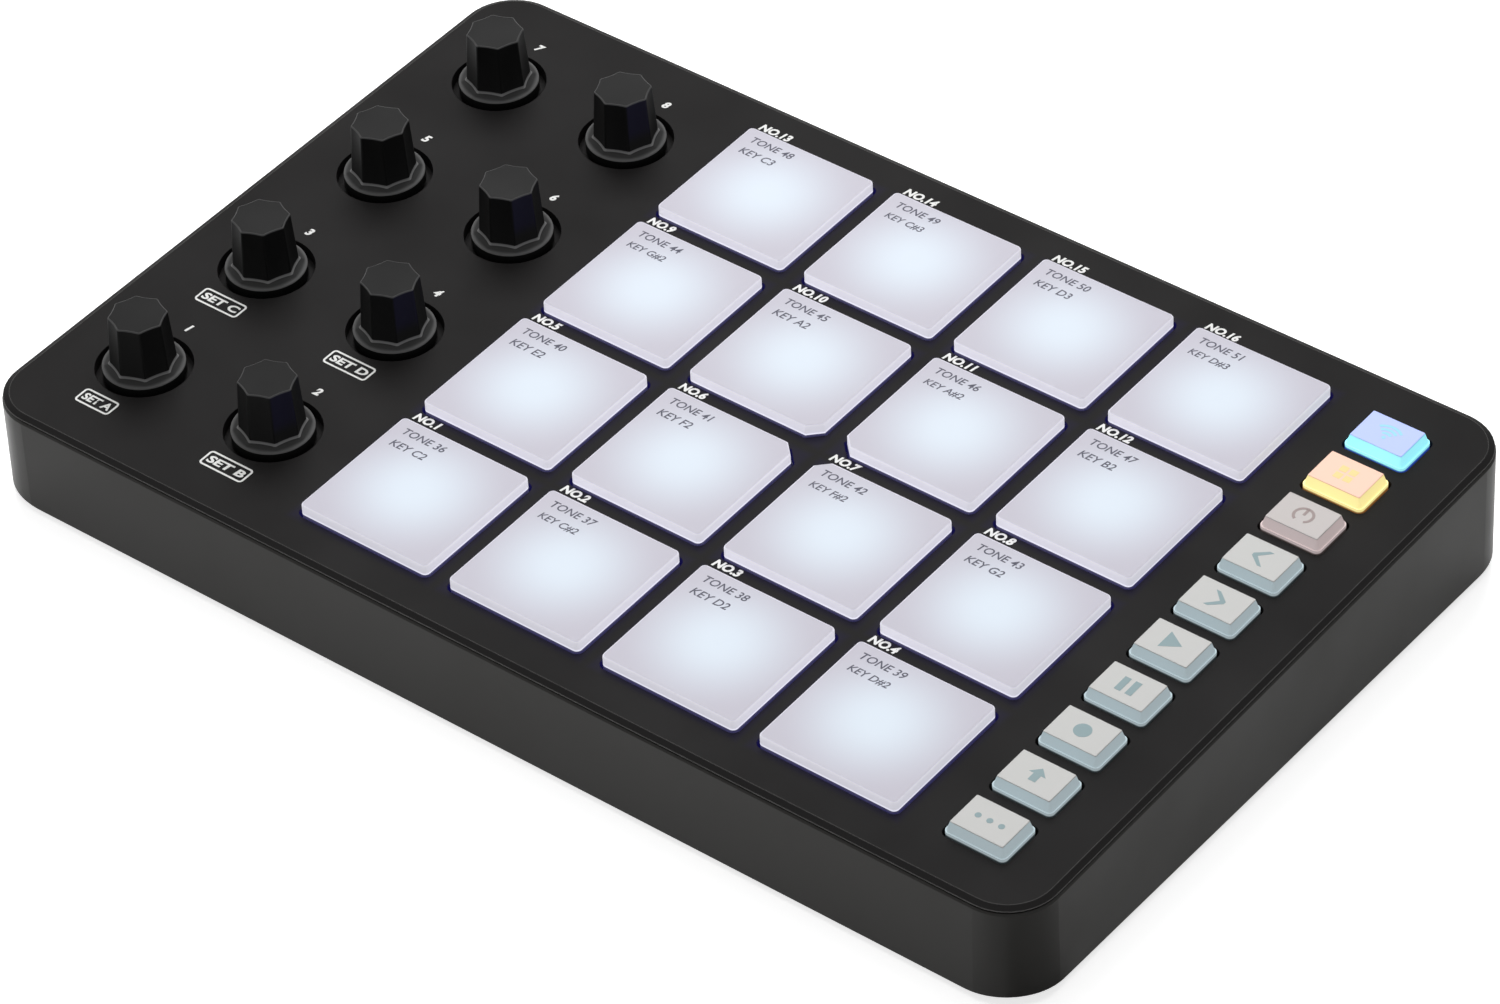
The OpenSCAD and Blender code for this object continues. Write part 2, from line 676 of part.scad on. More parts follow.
// Knob: round skirt and a tapered grip whose eight sides are hollowed along their length, with a foot
// that spreads on to the skirt
module knob(i) {
    base_r = grip_base_d / 2;
    top_r = grip_top_d / 2;
    grip_h = knob_rise - skirt_rise;
    lean = atan((base_r - top_r) / grip_h);
    half_side = base_r * sin(180 / flutes);
    flat_r = base_r * cos(180 / flutes);
    flute_r = (half_side * half_side + flute_depth * flute_depth) / (2 * flute_depth);
    skirt_slope = 0.4;
    edge_worn = 0.1;
    foot_sunk_h = 0.3;
    foot_h = 1;
    color([0.1, 0.1, 0.1]) standing() translate([knob_x(i), knob_y(i), 0]) difference() {
        union() {
            difference() {
                translate([0, 0, skirt_rise])
                    cylinder(h = grip_h, r1 = base_r - edge_worn, r2 = top_r - edge_worn);
                for (k = [0 : flutes - 1]) rotate(360 * (k + 0.5) / flutes)
                    translate([flat_r - flute_depth + flute_r, 0, skirt_rise]) rotate([0, -lean, 0])
                        translate([0, 0, -grip_h]) cylinder(h = 3 * grip_h, r = flute_r);
            }
            translate([0, 0, skirt_rise - foot_sunk_h])
                cylinder(h = foot_sunk_h + foot_h, r1 = base_r + grip_spread + foot_sunk_h,
                    r2 = base_r + grip_spread - foot_h, $fn = flutes);
            rotate_extrude() polygon([[0, skirt_bottom], [skirt_r, skirt_bottom],
                [skirt_r, skirt_rise - skirt_slope], [skirt_r - skirt_slope, skirt_rise], [0, skirt_rise]]);
        }
        shaft_bore();
    }
}

// Bore with a flat, in which the knob takes its shaft
module shaft_bore() {
    r = shaft_d / 2 + snug;
    translate([0, 0, skirt_bottom - past]) cylinder(h = -skirt_bottom + past, r = r);
    intersection() {
        translate([0, 0, -past]) cylinder(h = bore_top + past, r = r);
        translate([-2 * r, -2 * r, -past]) cube([2 * r + shaft_flat + snug, 4 * r, bore_top + past]);
    }
}

// Encoder shaft: round in its housing, with a flat where the knob sits
module encoder_shaft(i) {
    r = shaft_d / 2;
    color([0.7, 0.7, 0.7]) standing() translate([knob_x(i), knob_y(i), 0]) {
        translate([0, 0, shaft_bottom]) cylinder(h = -shaft_bottom, r = r);
        intersection() {
            cylinder(h = shaft_top, r = r);
            translate([-2 * r, -2 * r, 0]) cube([2 * r + shaft_flat, 4 * r, shaft_top]);
        }
    }
}

top_panel();
bottom_case();
main_pcb();
encoder_bodies();
pad_sensor_sheet();
pad_mat();
pad_leds();
keypad_mat();
button_switches();
battery();
usb_socket();
power_switch();
power_slider();
case_screws();
pcb_screws();
feet();
for (i = [0 : len(pad_names) - 1]) pad(i);
for (i = [0 : len(button_names) - 1]) button(i);
for (i = [0 : len(knob_names) - 1]) knob(i);
for (i = [0 : len(shaft_names) - 1]) encoder_shaft(i);
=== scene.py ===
# %% [markdown]
# # Dressing a drum-pad controller
#
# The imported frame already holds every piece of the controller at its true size: a wedge-shaped case,
# sixteen soft pads, ten buttons and eight endless knobs. This lesson gives those pieces their looks.
# Hard mouldings whose shape is right keep their frame mesh and only get a finish. The pads, buttons,
# knobs, screws and feet are grown again with rounder edges by Geometry Nodes trees that are built here.
# The printed signs and the finishes of the inner parts follow.

import json
import math

import bmesh
import bpy
import numpy as np
from mathutils import Matrix, Vector


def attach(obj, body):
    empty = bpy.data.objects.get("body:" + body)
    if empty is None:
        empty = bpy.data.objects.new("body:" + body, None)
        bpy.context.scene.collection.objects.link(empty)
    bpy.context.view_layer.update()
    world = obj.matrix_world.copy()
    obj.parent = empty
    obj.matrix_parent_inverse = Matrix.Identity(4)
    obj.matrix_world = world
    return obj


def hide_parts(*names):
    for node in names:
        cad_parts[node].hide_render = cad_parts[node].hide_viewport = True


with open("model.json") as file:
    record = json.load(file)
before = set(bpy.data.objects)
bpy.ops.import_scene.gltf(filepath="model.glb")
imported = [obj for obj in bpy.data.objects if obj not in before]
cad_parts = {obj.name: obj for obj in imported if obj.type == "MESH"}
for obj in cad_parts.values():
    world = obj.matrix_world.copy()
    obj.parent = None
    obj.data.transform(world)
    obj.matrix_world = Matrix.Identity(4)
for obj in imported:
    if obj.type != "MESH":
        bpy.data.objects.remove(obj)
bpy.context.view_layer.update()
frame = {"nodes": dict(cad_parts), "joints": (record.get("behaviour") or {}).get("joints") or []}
nodes = frame["nodes"]
joints = {joint["name"]: joint for joint in frame["joints"]}
scene = bpy.context.scene
MM = 0.001

# %% [markdown]
# ## The plane of the face plate
#
# The face plate leans a little towards the player, and everything that shows stands on it. Its plane
# could be typed in as numbers, but the frame already knows it: every knob turns about an axis square to
# the plate, through a point on its upper face. So the plate's own frame is read from the knob joints,
# and all later places are given in it: x to the right, y to the back from the middle row line, z up.

# %% Read the face plate from the knob joints
knob_names = [f"knob_{i}" for i in range(1, 9)]
pad_names = [f"pad_{i:02d}" for i in range(1, 17)]
button_names = [f"button_{i:02d}" for i in range(1, 11)]

plate_normal = Vector(joints["knob_1_turn"]["axis"]).normalized()
plate_tilt = math.asin(-plate_normal.y)
knob_posts = [Vector(joints[name + "_turn"]["pos_m"]) for name in knob_names]
plate_middle = sum(knob_posts, Vector()) / len(knob_posts)
plate_middle.x = 0
PLATE = Matrix.Translation(plate_middle) @ Matrix.Rotation(plate_tilt, 4, "X")
FROM_PLATE = PLATE.inverted()


def plate_points(name, above=-1.0):
    """Corners of a frame node in the face plate's frame, those higher than the given height."""
    points = np.array([FROM_PLATE @ v.co for v in nodes[name].data.vertices])
    return points[points[:, 2] > above]


def plate_box(name, above=-1.0):
    """Lowest and highest corner of a frame node in the face plate's frame."""
    points = plate_points(name, above)
    return Vector(points.min(axis=0)), Vector(points.max(axis=0))


def plan_centre(low, high):
    """Middle of a box, set down on the face plate."""
    return Vector(((low.x + high.x) / 2, (low.y + high.y) / 2, 0))


print("plate leans", round(math.degrees(plate_tilt), 3), "degrees, middle at", plate_middle[:])

# %% [markdown]
# ## The camera
#
# The photograph was taken with a long lens from the front right, well above the plate. The view was
# worked out by matching the corners of all the pads, knobs and case edges, and it is given here by where
# the camera stands, the way it looks and a slight roll, so that each number can be understood by itself.

# %% Set up the camera
VIEW_AZIMUTH = math.radians(38.457)
VIEW_HEIGHT = math.radians(39.962)
VIEW_ROLL = math.radians(-1.303)
VIEW_FROM = Vector((0.54921, -0.68992, 0.74328))
LENS = 152.35
SENSOR = 36


def add_object(name, data):
    """A new object in the scene, at the origin."""
    added = bpy.data.objects.new(name, data)
    scene.collection.objects.link(added)
    return added


camera_data = bpy.data.cameras.new("portrait")
camera_data.lens = LENS
camera_data.sensor_width = SENSOR
camera = add_object("portrait", camera_data)
aim = Matrix.Rotation(VIEW_AZIMUTH, 4, "Z") @ Matrix.Rotation(math.pi / 2 - VIEW_HEIGHT, 4, "X")
camera.matrix_world = Matrix.Translation(VIEW_FROM) @ aim @ Matrix.Rotation(VIEW_ROLL, 4, "Z")
scene.camera = camera
print("camera stands", round(VIEW_FROM.length, 3), "m from the origin")

# %% [markdown]
# ## Helpers for nodes
#
# Shaders and Geometry Nodes trees are both graphs, and drawing them by hand in a script gets long. One
# helper adds a node and either sets or links each of its inputs. The others give the few nodes that come
# back all the time: sums, vectors, smooth ramps, colour mixes, and the place and facing of the skin.
# Colours are written as screen levels, because that is how they are read off a photograph.

# %% Node helpers


def wire(tree, node, inputs):
    """Sets or links a node's inputs by name or number."""
    for key, value in inputs.items():
        if isinstance(value, bpy.types.NodeSocket):
            tree.links.new(value, node.inputs[key])
        else:
            node.inputs[key].default_value = value


def put(tree, kind, inputs=None, **settings):
    """Adds a node, applies its settings, and sets or links its inputs."""
    node = tree.nodes.new(kind)
    for key, value in settings.items():
        setattr(node, key, value)
    wire(tree, node, inputs or {})
    return node


def sums(tree, operation, *values):
    """One Math node, as its result socket."""
    return put(tree, "ShaderNodeMath", dict(enumerate(values)), operation=operation).outputs[0]


def times(tree, a, b):
    """The product of two values."""
    return sums(tree, "MULTIPLY", a, b)


def less(tree, value, *others):
    """A value less one or more others."""
    for other in others:
        value = sums(tree, "SUBTRACT", value, other)
    return value


def vectors(tree, operation, *values):
    """One Vector Math node, as its first live result socket."""
    node = put(tree, "ShaderNodeVectorMath", dict(enumerate(values)), operation=operation)
    return next(socket for socket in node.outputs if socket.enabled)


def reach(tree, vector, way):
    """How far a vector reaches in a fixed direction."""
    return vectors(tree, "DOT_PRODUCT", vector, tuple(way))


def axis_of(tree, vector, axis):
    """One of a vector's three numbers."""
    return put(tree, "ShaderNodeSeparateXYZ", {0: vector}).outputs[axis]


def combined(tree, **axes):
    """A vector from its X, Y and Z."""
    return put(tree, "ShaderNodeCombineXYZ", axes).outputs[0]


print("helpers for sums and vectors ready")

# %% Shader helpers


def eased(tree, value, start, end):
    """A smooth ramp from 0 at start to 1 at end."""
    limits = {"Value": value, "From Min": start, "From Max": end}
    return put(tree, "ShaderNodeMapRange", limits, interpolation_type="SMOOTHSTEP").outputs[0]


def blended(tree, factor, low, high):
    """A colour mix, as its result socket."""
    return put(tree, "ShaderNodeMix", {"Factor": factor, 6: low, 7: high}, data_type="RGBA").outputs[2]


def object_place(tree):
    """The place on the skin, in the frame's metres."""
    return put(tree, "ShaderNodeTexCoord").outputs["Object"]


def facing(tree, way):
    """How far the skin faces a direction, 1 where it does so squarely."""
    return reach(tree, put(tree, "ShaderNodeNewGeometry").outputs["Normal"], way)


def plate_height(tree):
    """Height of the skin above the face plate, in metres."""
    return less(tree, reach(tree, object_place(tree), plate_normal), plate_normal.dot(plate_middle))


def main_shader(finish):
    """The shader node of a finish."""
    return finish.node_tree.nodes["Principled BSDF"]


def feed_of(finish, name):
    """The socket that feeds an input of a finish's shader."""
    return main_shader(finish).inputs[name].links[0].from_socket


def screen(*levels):
    """Screen levels from 0 to 255 as the linear colour that a shader wants."""
    return tuple(((level / 255 + 0.055) / 1.055) ** 2.4 for level in levels) + (1.0,)


print("mid grey 188 is", round(screen(188)[0], 3), "in linear light")

# %% [markdown]
# ## Floor, world and lamps
#
# The studio is a plain white sweep with soft light. A white floor could be had by flooding it with
# light, but that would wash out the controller as well. Instead the floor is an ordinary pale surface
# that adds a little glow of its own, only for rays that come from the camera, through a clear piece or by
# way of a gloss, so that it shows white and still keeps the soft shadow under the case. No card is laid
# in the scene: the mirrored glow is dimmed in a wedge from the front corner and by half along the right
# side, which paints darker reflections into the case's walls, as a black and a grey card would.

# %% Lay the floor
FLOOR_LEVEL = 0.75
FLOOR_REACH = 4.0
PAPER = (0.8, 0.8, 0.8, 1)
WHITE = (1, 1, 1, 1)
DARK_REFLECTION_CORNER = (0.11, -0.07, 0.0)
DARK_REFLECTION_WAY = (0.996, -0.087, 0.0)
DARK_REFLECTION_FADE = (0.75, 0.35)
DIM_REFLECTION_SPAN = (0.095, 0.125)
DIM_REFLECTION_SHARE = 0.5


def bare_tree(owner):
    """The emptied node tree of a material or a world."""
    owner.use_nodes = True
    owner.node_tree.nodes.clear()
    return owner.node_tree


def floor_shows(tree):
    """1 for camera rays, and for mirrored rays outside the painted dark reflections; 0 for the light that
    falls.
    """
    rays = put(tree, "ShaderNodeLightPath").outputs
    spot = object_place(tree)
    # Painted darker reflections: mirrored rays see less floor glow in a wedge from the front corner and along
    # the right side
    from_corner = vectors(tree, "NORMALIZE", vectors(tree, "SUBTRACT", spot, DARK_REFLECTION_CORNER))
    outside_dark_reflection = eased(tree, reach(tree, from_corner, DARK_REFLECTION_WAY), *DARK_REFLECTION_FADE)
    in_dim_reflection = eased(tree, axis_of(tree, spot, "X"), *DIM_REFLECTION_SPAN)
    outside_dim_reflection = less(tree, 1.0, times(tree, in_dim_reflection, DIM_REFLECTION_SHARE))
    mirrored = times(tree, rays["Is Glossy Ray"], sums(tree, "MINIMUM", outside_dark_reflection, outside_dim_reflection))
    direct = sums(tree, "MAXIMUM", rays["Is Camera Ray"], rays["Is Transmission Ray"])
    return sums(tree, "MAXIMUM", direct, mirrored)


floor_paint = bpy.data.materials.new("studio_floor")
tree = bare_tree(floor_paint)
paper = put(tree, "ShaderNodeBsdfDiffuse", {"Color": PAPER})
lift = times(tree, floor_shows(tree), FLOOR_LEVEL)
glow = put(tree, "ShaderNodeEmission", {"Color": WHITE, "Strength": lift})
lit_paper = put(tree, "ShaderNodeAddShader", {0: paper.outputs[0], 1: glow.outputs[0]})
put(tree, "ShaderNodeOutputMaterial", {"Surface": lit_paper.outputs[0]})

corners = [(x * FLOOR_REACH, y * FLOOR_REACH, 0) for x, y in ((-1, -1), (1, -1), (1, 1), (-1, 1))]
floor_mesh = bpy.data.meshes.new("studio_floor")
floor_mesh.from_pydata(corners, [], [(0, 1, 2, 3)])
floor_mesh.materials.append(floor_paint)
floor = add_object("studio_floor", floor_mesh)
print("floor level", FLOOR_LEVEL)

# %% Set up the world and the lamps
WORLD_LEVEL = 0.12

world = bpy.data.worlds.new("studio")
scene.world = world
tree = bare_tree(world)
rays = put(tree, "ShaderNodeLightPath").outputs
through = sums(tree, "MAXIMUM", rays["Is Glossy Ray"], rays["Is Transmission Ray"])
seen = sums(tree, "MAXIMUM", rays["Is Camera Ray"], through)
strength = put(tree, "ShaderNodeMapRange", {"Value": seen, "To Min": WORLD_LEVEL, "To Max": 1.0})
sky = put(tree, "ShaderNodeBackground", {"Color": WHITE, "Strength": strength.outputs[0]})
put(tree, "ShaderNodeOutputWorld", {"Surface": sky.outputs[0]})


def softbox(name, place, target, size, power):
    """A flat area lamp that looks at a point."""
    data = bpy.data.lights.new(name, "AREA")
    data.shape = "RECTANGLE"
    data.size, data.size_y = size
    data.energy = power
    box = add_object(name, data)
    box.location = place
    box.rotation_euler = (Vector(target) - Vector(place)).to_track_quat("-Z", "Y").to_euler()


softbox("overhead", place=(0, 0, 1.2), target=(0, 0, 0), size=(1.0, 1.0), power=5.5)
softbox("back_left", place=(-0.45, 0.57, 0.93), target=(0, 0, 0), size=(0.7, 0.6), power=8.5)
softbox("front_left", place=(-1.1, -0.5, 0.5), target=(0, 0, 0.02), size=(0.7, 0.7), power=1.7)
scene.view_settings.view_transform = "Standard"
print("world level", WORLD_LEVEL, "and", len(bpy.data.lights), "lamps")

# %% [markdown]
# ## Moulded plastics and rubbers
#
# Nearly every piece is an injection moulding, and what makes a moulding look real is small: the mould was
# spark-eroded, so the skin has a fine grain, and its gloss drifts a little from place to place. One
# helper makes all of them. A fine noise on Object coordinates drives the bump, and a broad one moves the
# roughness and the colour by a few percent, so no moulding is one flat colour. No moulded edge is truly
# sharp, and where a frame mesh has sharp ones a Bevel node rounds the shading by a worn width.

# %% A helper for grained mouldings
GRAIN_DETAIL = 3.0
BUMP_STRENGTH = 0.6
DRIFT_SCALE = 45.0
DRIFT_DETAIL = 2.0
DRIFT_SPAN = (0.3, 0.7)
BEVEL_SAMPLES = 6


def soft_normal(tree, width):
    """The way the skin faces, with its edges rounded off by a width."""
    return put(tree, "ShaderNodeBevel", {"Radius": width}, samples=BEVEL_SAMPLES).outputs[0]


def grained(name, colour, rough, grain, relief, drift=0.06, gloss=0.5, metal=0.0, worn=0.0):
    """A moulded skin: grain size, relief and worn edge in metres, drift as the spread of its looks."""
    finish = bpy.data.materials.new(name)
    finish.use_nodes = True
    finish.diffuse_color = colour
    tree = finish.node_tree
    place = object_place(tree)
    fine = put(tree, "ShaderNodeTexNoise", {"Vector": place, "Scale": 1 / grain, "Detail": GRAIN_DETAIL})
    bump = put(tree, "ShaderNodeBump", {
        "Height": fine.outputs[0], "Strength": BUMP_STRENGTH, "Distance": relief})
    if worn:
        wire(tree, bump, {"Normal": soft_normal(tree, worn)})
    broad = put(tree, "ShaderNodeTexNoise", {
        "Vector": place, "Scale": DRIFT_SCALE, "Detail": DRIFT_DETAIL}).outputs[0]
    rough_map = put(tree, "ShaderNodeMapRange", {
        "Value": broad, "From Min": DRIFT_SPAN[0], "From Max": DRIFT_SPAN[1],
        "To Min": rough - drift, "To Max": rough + drift})
    darker = tuple(level * (1 - drift) for level in colour[:3]) + (1.0,)
    lighter = tuple(level * (1 + drift) for level in colour[:3]) + (1.0,)
    wire(tree, main_shader(finish), {
        "Specular IOR Level": gloss, "Metallic": metal, "Normal": bump.outputs[0],
        "Roughness": rough_map.outputs[0], "Base Color": blended(tree, broad, darker, lighter)})
    return finish


def dress(name, finish):
    """Puts a finish on a frame node in place of the plain one that it came with."""
    slots = nodes[name].data.materials
    slots.clear()
    slots.append(finish)


print("one noise for grain, one for drift")

# %% [markdown]
# ## Case and face plate
#
# The lower case is a satin moulding and the face plate a flatter, finer one, both charcoal. The frame
# has their true outlines with bevels and the shadow line between them, and it carries smooth normals, so
# the frame meshes stay and only take a finish. The plate's outer edge gets a painted highlight: a pale
# line wherever the bevelled normal turns away from the face's own.

# %% Finish the two mouldings of the case
plate_skin = grained("charcoal_plate", screen(31, 30, 30), rough=0.55, grain=0.25 * MM,
                     relief=0.012 * MM, gloss=0.045, worn=0.15 * MM)
case_skin = grained("charcoal_case", screen(51, 50, 48), rough=0.36, grain=0.3 * MM,
                    relief=0.01 * MM, gloss=0.14, worn=0.2 * MM)
# Painted highlight along the plate's outer edge, pale where the bevelled normal turns away from the face's
# own
EDGE_REACH = 6 * MM
EDGE_WIDTH = 0.3 * MM
EDGE_TURN = (0.998, 0.96)
PLATE_EDGE_HIGHLIGHT = screen(105, 104, 103)

plate_tree = plate_skin.node_tree
plate_half = plate_box("top_panel")[1]
from_plate = vectors(plate_tree, "SUBTRACT", object_place(plate_tree), tuple(plate_middle))
away = vectors(plate_tree, "ABSOLUTE", from_plate)
by_side = sums(plate_tree, "GREATER_THAN", axis_of(plate_tree, away, "X"), plate_half.x - EDGE_REACH)
by_end = sums(plate_tree, "GREATER_THAN", axis_of(plate_tree, away, "Y"), plate_half.y - EDGE_REACH)
true_normal = put(plate_tree, "ShaderNodeNewGeometry").outputs["Normal"]
turned_by = vectors(plate_tree, "DOT_PRODUCT", soft_normal(plate_tree, EDGE_WIDTH), true_normal)
edge_highlight_share = put(plate_tree, "ShaderNodeMapRange", {
    "Value": turned_by, "From Min": EDGE_TURN[0], "From Max": EDGE_TURN[1]}).outputs[0]
on_edge_highlight = times(plate_tree, sums(plate_tree, "MAXIMUM", by_side, by_end), edge_highlight_share)
pale = blended(plate_tree, on_edge_highlight, feed_of(plate_skin, "Base Color"), PLATE_EDGE_HIGHLIGHT)
wire(plate_tree, main_shader(plate_skin), {"Base Color": pale})
dress("top_panel", plate_skin)
dress("bottom_case", case_skin)
print("finished the face plate and the lower case")

# %% [markdown]
# ## Growing a piece from a tree
#
# Pads, buttons and knobs are all closed mouldings that rise in steps from a flat outline, so they are
# grown by Geometry Nodes from their sizes. A tree is run once for each piece, and its result is kept as
# a plain mesh with its place in the vertices, because the finished model holds no live nodes. The
# helpers below make a tree's named inputs, run it, and tidy the shell that comes out.

# %% Helpers that run a tree
SHARP_TURN = math.radians(38)
SMOOTH_CORNERS = 8
WELD = 1e-7


def tidy_shell(mesh):
    """Welds a shell, turns its faces outwards, keeps sharp edges sharp, and tells of open ones."""
    shell = bmesh.new()
    shell.from_mesh(mesh)
    bmesh.ops.remove_doubles(shell, verts=shell.verts, dist=WELD)
    bmesh.ops.recalc_face_normals(shell, faces=shell.faces)
    loose = sum(not edge.is_manifold for edge in shell.edges)
    shell.to_mesh(mesh)
    shell.free()
    mesh.shade_smooth()
    mesh.set_sharp_from_angle(angle=SHARP_TURN)
    for face in mesh.polygons:
        face.use_smooth = len(face.vertices) <= SMOOTH_CORNERS
    if loose:
        print(mesh.name, "has", loose, "open edges")


def frozen(piece):
    """A plain mesh of what an object's text or modifiers make."""
    depsgraph = bpy.context.evaluated_depsgraph_get()
    return bpy.data.meshes.new_from_object(piece.evaluated_get(depsgraph), depsgraph=depsgraph)


def grow(name, tree, settings, place, seed=None):
    """Runs a tree with the given inputs and keeps its result as a plain mesh at its place."""
    piece = add_object(name, seed or bpy.data.meshes.new(name + "_seed"))
    modifier = piece.modifiers.new("growth", "NODES")
    modifier.node_group = tree
    for item in tree.interface.items_tree:
        if item.in_out == "INPUT" and item.name in settings:
            modifier[item.identifier] = settings[item.name]
    mesh = frozen(piece)
    piece.modifiers.remove(modifier)
    piece.data = mesh
    mesh.name = name
    tidy_shell(mesh)
    mesh.transform(place)
    return piece


print("edges sharper than", round(math.degrees(SHARP_TURN)), "degrees stay sharp")

# %% Helpers that build a tree
SOCKETS = {"size": "NodeSocketFloat", "point": "NodeSocketVector", "finish": "NodeSocketMaterial",
           "shape": "NodeSocketGeometry", "choice": "NodeSocketBool"}
STEP_FLOW = [("Geometry", "shape"), ("Face", "choice")]


def sizes(*labels):
    """Inputs that are plain numbers."""
    return [(label, "size") for label in labels]


def new_tree(name, inputs, outputs=(("Geometry", "shape"),)):
    """An empty Geometry Nodes tree with named inputs and outputs, and its input and output nodes."""
    tree = bpy.data.node_groups.new(name, "GeometryNodeTree")
    for way, rows in (("INPUT", inputs), ("OUTPUT", outputs)):
        for label, kind in rows:
            tree.interface.new_socket(label, in_out=way, socket_type=SOCKETS[kind])
    return tree, tree.nodes.new("NodeGroupInput").outputs, tree.nodes.new("NodeGroupOutput").inputs


def new_step(name, inputs):
    """A tree that raises a face, with its inputs, its outputs and what it raised."""
    tree, given, result = new_tree(name, STEP_FLOW + sizes("Rise") + inputs, STEP_FLOW)
    raised = put(tree, "GeometryNodeExtrudeMesh", {
        "Mesh": given["Geometry"], "Selection": given["Face"], "Offset": (0, 0, 1),
        "Offset Scale": given["Rise"], "Individual": False}).outputs
    tree.links.new(raised["Top"], result["Face"])
    return tree, given, result, raised


def end_step(tree, raised, result, move):
    """Moves the raised points by an offset or to a position, and hands the shape on."""
    drawn = put(tree, "GeometryNodeSetPosition", {
        "Geometry": raised["Mesh"], "Selection": raised["Top"], **move})
    tree.links.new(drawn.outputs[0], result["Geometry"])


def stacked(tree, step_tree, start, rows):
    """Adds one step after another to a start face, and closes the shape with that face."""
    shape, face = start, True
    for row in rows:
        step = put(tree, "GeometryNodeGroup", {"Geometry": shape, "Face": face, **row}, node_tree=step_tree)
        shape, face = step.outputs["Geometry"], step.outputs["Face"]
    closed = put(tree, "GeometryNodeJoinGeometry")
    tree.links.new(shape, closed.inputs[0])
    tree.links.new(start, closed.inputs[0])
    return closed.outputs[0]


def quarter(count):
    """Rise, draw-in and draw-in so far of each step along a quarter circle with a radius of 1."""
    angles = [math.pi / 2 * k / count for k in range(count + 1)]
    return [(math.sin(high) - math.sin(low), math.cos(low) - math.cos(high), 1 - math.cos(high))
            for low, high in zip(angles, angles[1:])]


def coated(tree, shape, finish):
    """A shape made one plain mesh with a finish."""
    whole = put(tree, "GeometryNodeRealizeInstances", {0: shape})
    return put(tree, "GeometryNodeSetMaterial", {"Geometry": whole.outputs[0], "Material": finish}).outputs[0]


print("a tree's inputs can be:", ", ".join(SOCKETS))

# %% [markdown]
# ## A tree for raised caps
#
# A pad and a button are the same kind of moulding: a rounded rectangle that comes up through the plate
# and ends in a soft edge. It could be a cube with a Bevel modifier, but then a lean, a ledge and a
# cut-off corner each need another modifier. Here the outline is extruded in steps, and each step gives
# how far it rises and how far it draws in. Each point draws in towards the nearest point of a core
# rectangle that joins the corners' centres, so the sides stay parallel and the corners get tighter.

# %% One step of a raised cap
rise_step, given, result, raised = new_step("rise_step", sizes("Inset") + [("Core", "point")])
position = put(rise_step, "GeometryNodeInputPosition").outputs[0]
core_low = vectors(rise_step, "MULTIPLY", given["Core"], (-1, -1, -1))
on_core = vectors(rise_step, "MAXIMUM", vectors(rise_step, "MINIMUM", position, given["Core"]), core_low)
outwards = vectors(rise_step, "NORMALIZE", vectors(rise_step, "SUBTRACT", position, on_core))
inwards = times(rise_step, given["Inset"], -1.0)
move = vectors(rise_step, "MULTIPLY", outwards, combined(rise_step, X=inwards, Y=inwards))
end_step(rise_step, raised, result, {"Offset": move})
print("rise_step has", len(rise_step.nodes), "nodes")

# %% The outline of a cap
CUT_SHARE = 0.4
CORNER_POINTS = 6.0
CUT_POINTS = 1.0

cap_tree, given, result = new_tree("raised_cap", sizes(
    "Width", "Depth", "Corner", "Cut", "Foot", "Ledge", "Ledge inset", "Rise", "Lean", "Edge") + [
    ("Cut towards", "point"), ("Side finish", "finish"), ("Top finish", "finish")])
width, depth, corner, edge = (given[label] for label in ("Width", "Depth", "Corner", "Edge"))
position = put(cap_tree, "GeometryNodeInputPosition").outputs[0]

rectangle = put(cap_tree, "GeometryNodeCurvePrimitiveQuadrilateral", {"Width": width, "Height": depth})
towards = vectors(cap_tree, "DOT_PRODUCT", position, given["Cut towards"])
span = sums(cap_tree, "ADD", width, depth)
is_cut = sums(cap_tree, "GREATER_THAN", towards, times(cap_tree, span, CUT_SHARE))
corner_size = put(cap_tree, "ShaderNodeMix", {"Factor": is_cut, "A": corner, "B": given["Cut"]})
corner_points = less(cap_tree, CORNER_POINTS, times(cap_tree, is_cut, CORNER_POINTS - CUT_POINTS))
outline = put(cap_tree, "GeometryNodeFilletCurve", {
    "Curve": rectangle.outputs[0], "Radius": corner_size.outputs[0], "Count": corner_points}, mode="POLY")
base = put(cap_tree, "GeometryNodeFillCurve", {"Curve": outline.outputs[0]}, mode="NGONS")
sunk = combined(cap_tree, Z=times(cap_tree, given["Foot"], -1.0))
lowered = put(cap_tree, "GeometryNodeTransform", {"Geometry": base.outputs[0], "Translation": sunk})
print("a corner has", int(CORNER_POINTS), "points, a cut one", int(CUT_POINTS))

# %% The steps and finishes of a cap
EDGE_STEPS = 4
TOP_SHARE = 0.95
MIDDLE = (0.5, 0.5, 0.0)

# Height of the leaning side, up to where the soft edge begins
side_rise = less(cap_tree, given["Rise"], given["Ledge"], edge)
steps = [(sums(cap_tree, "ADD", given["Foot"], given["Ledge"]), 0.0), (0.0, given["Ledge inset"]),
         (side_rise, times(cap_tree, side_rise, given["Lean"]))]
for rise, inset, so_far in quarter(EDGE_STEPS):
    steps.append((times(cap_tree, edge, rise), times(cap_tree, edge, inset)))
core_x, core_y = (less(cap_tree, times(cap_tree, side, 0.5), corner) for side in (width, depth))
core = combined(cap_tree, X=core_x, Y=core_y, Z=1.0)
rows = [{"Rise": rise, "Inset": inset, "Core": core} for rise, inset in steps]
closed = stacked(cap_tree, rise_step, lowered.outputs[0], rows)
extent = combined(cap_tree, X=width, Y=depth, Z=1.0)
plan = vectors(cap_tree, "ADD", vectors(cap_tree, "DIVIDE", position, extent), MIDDLE)
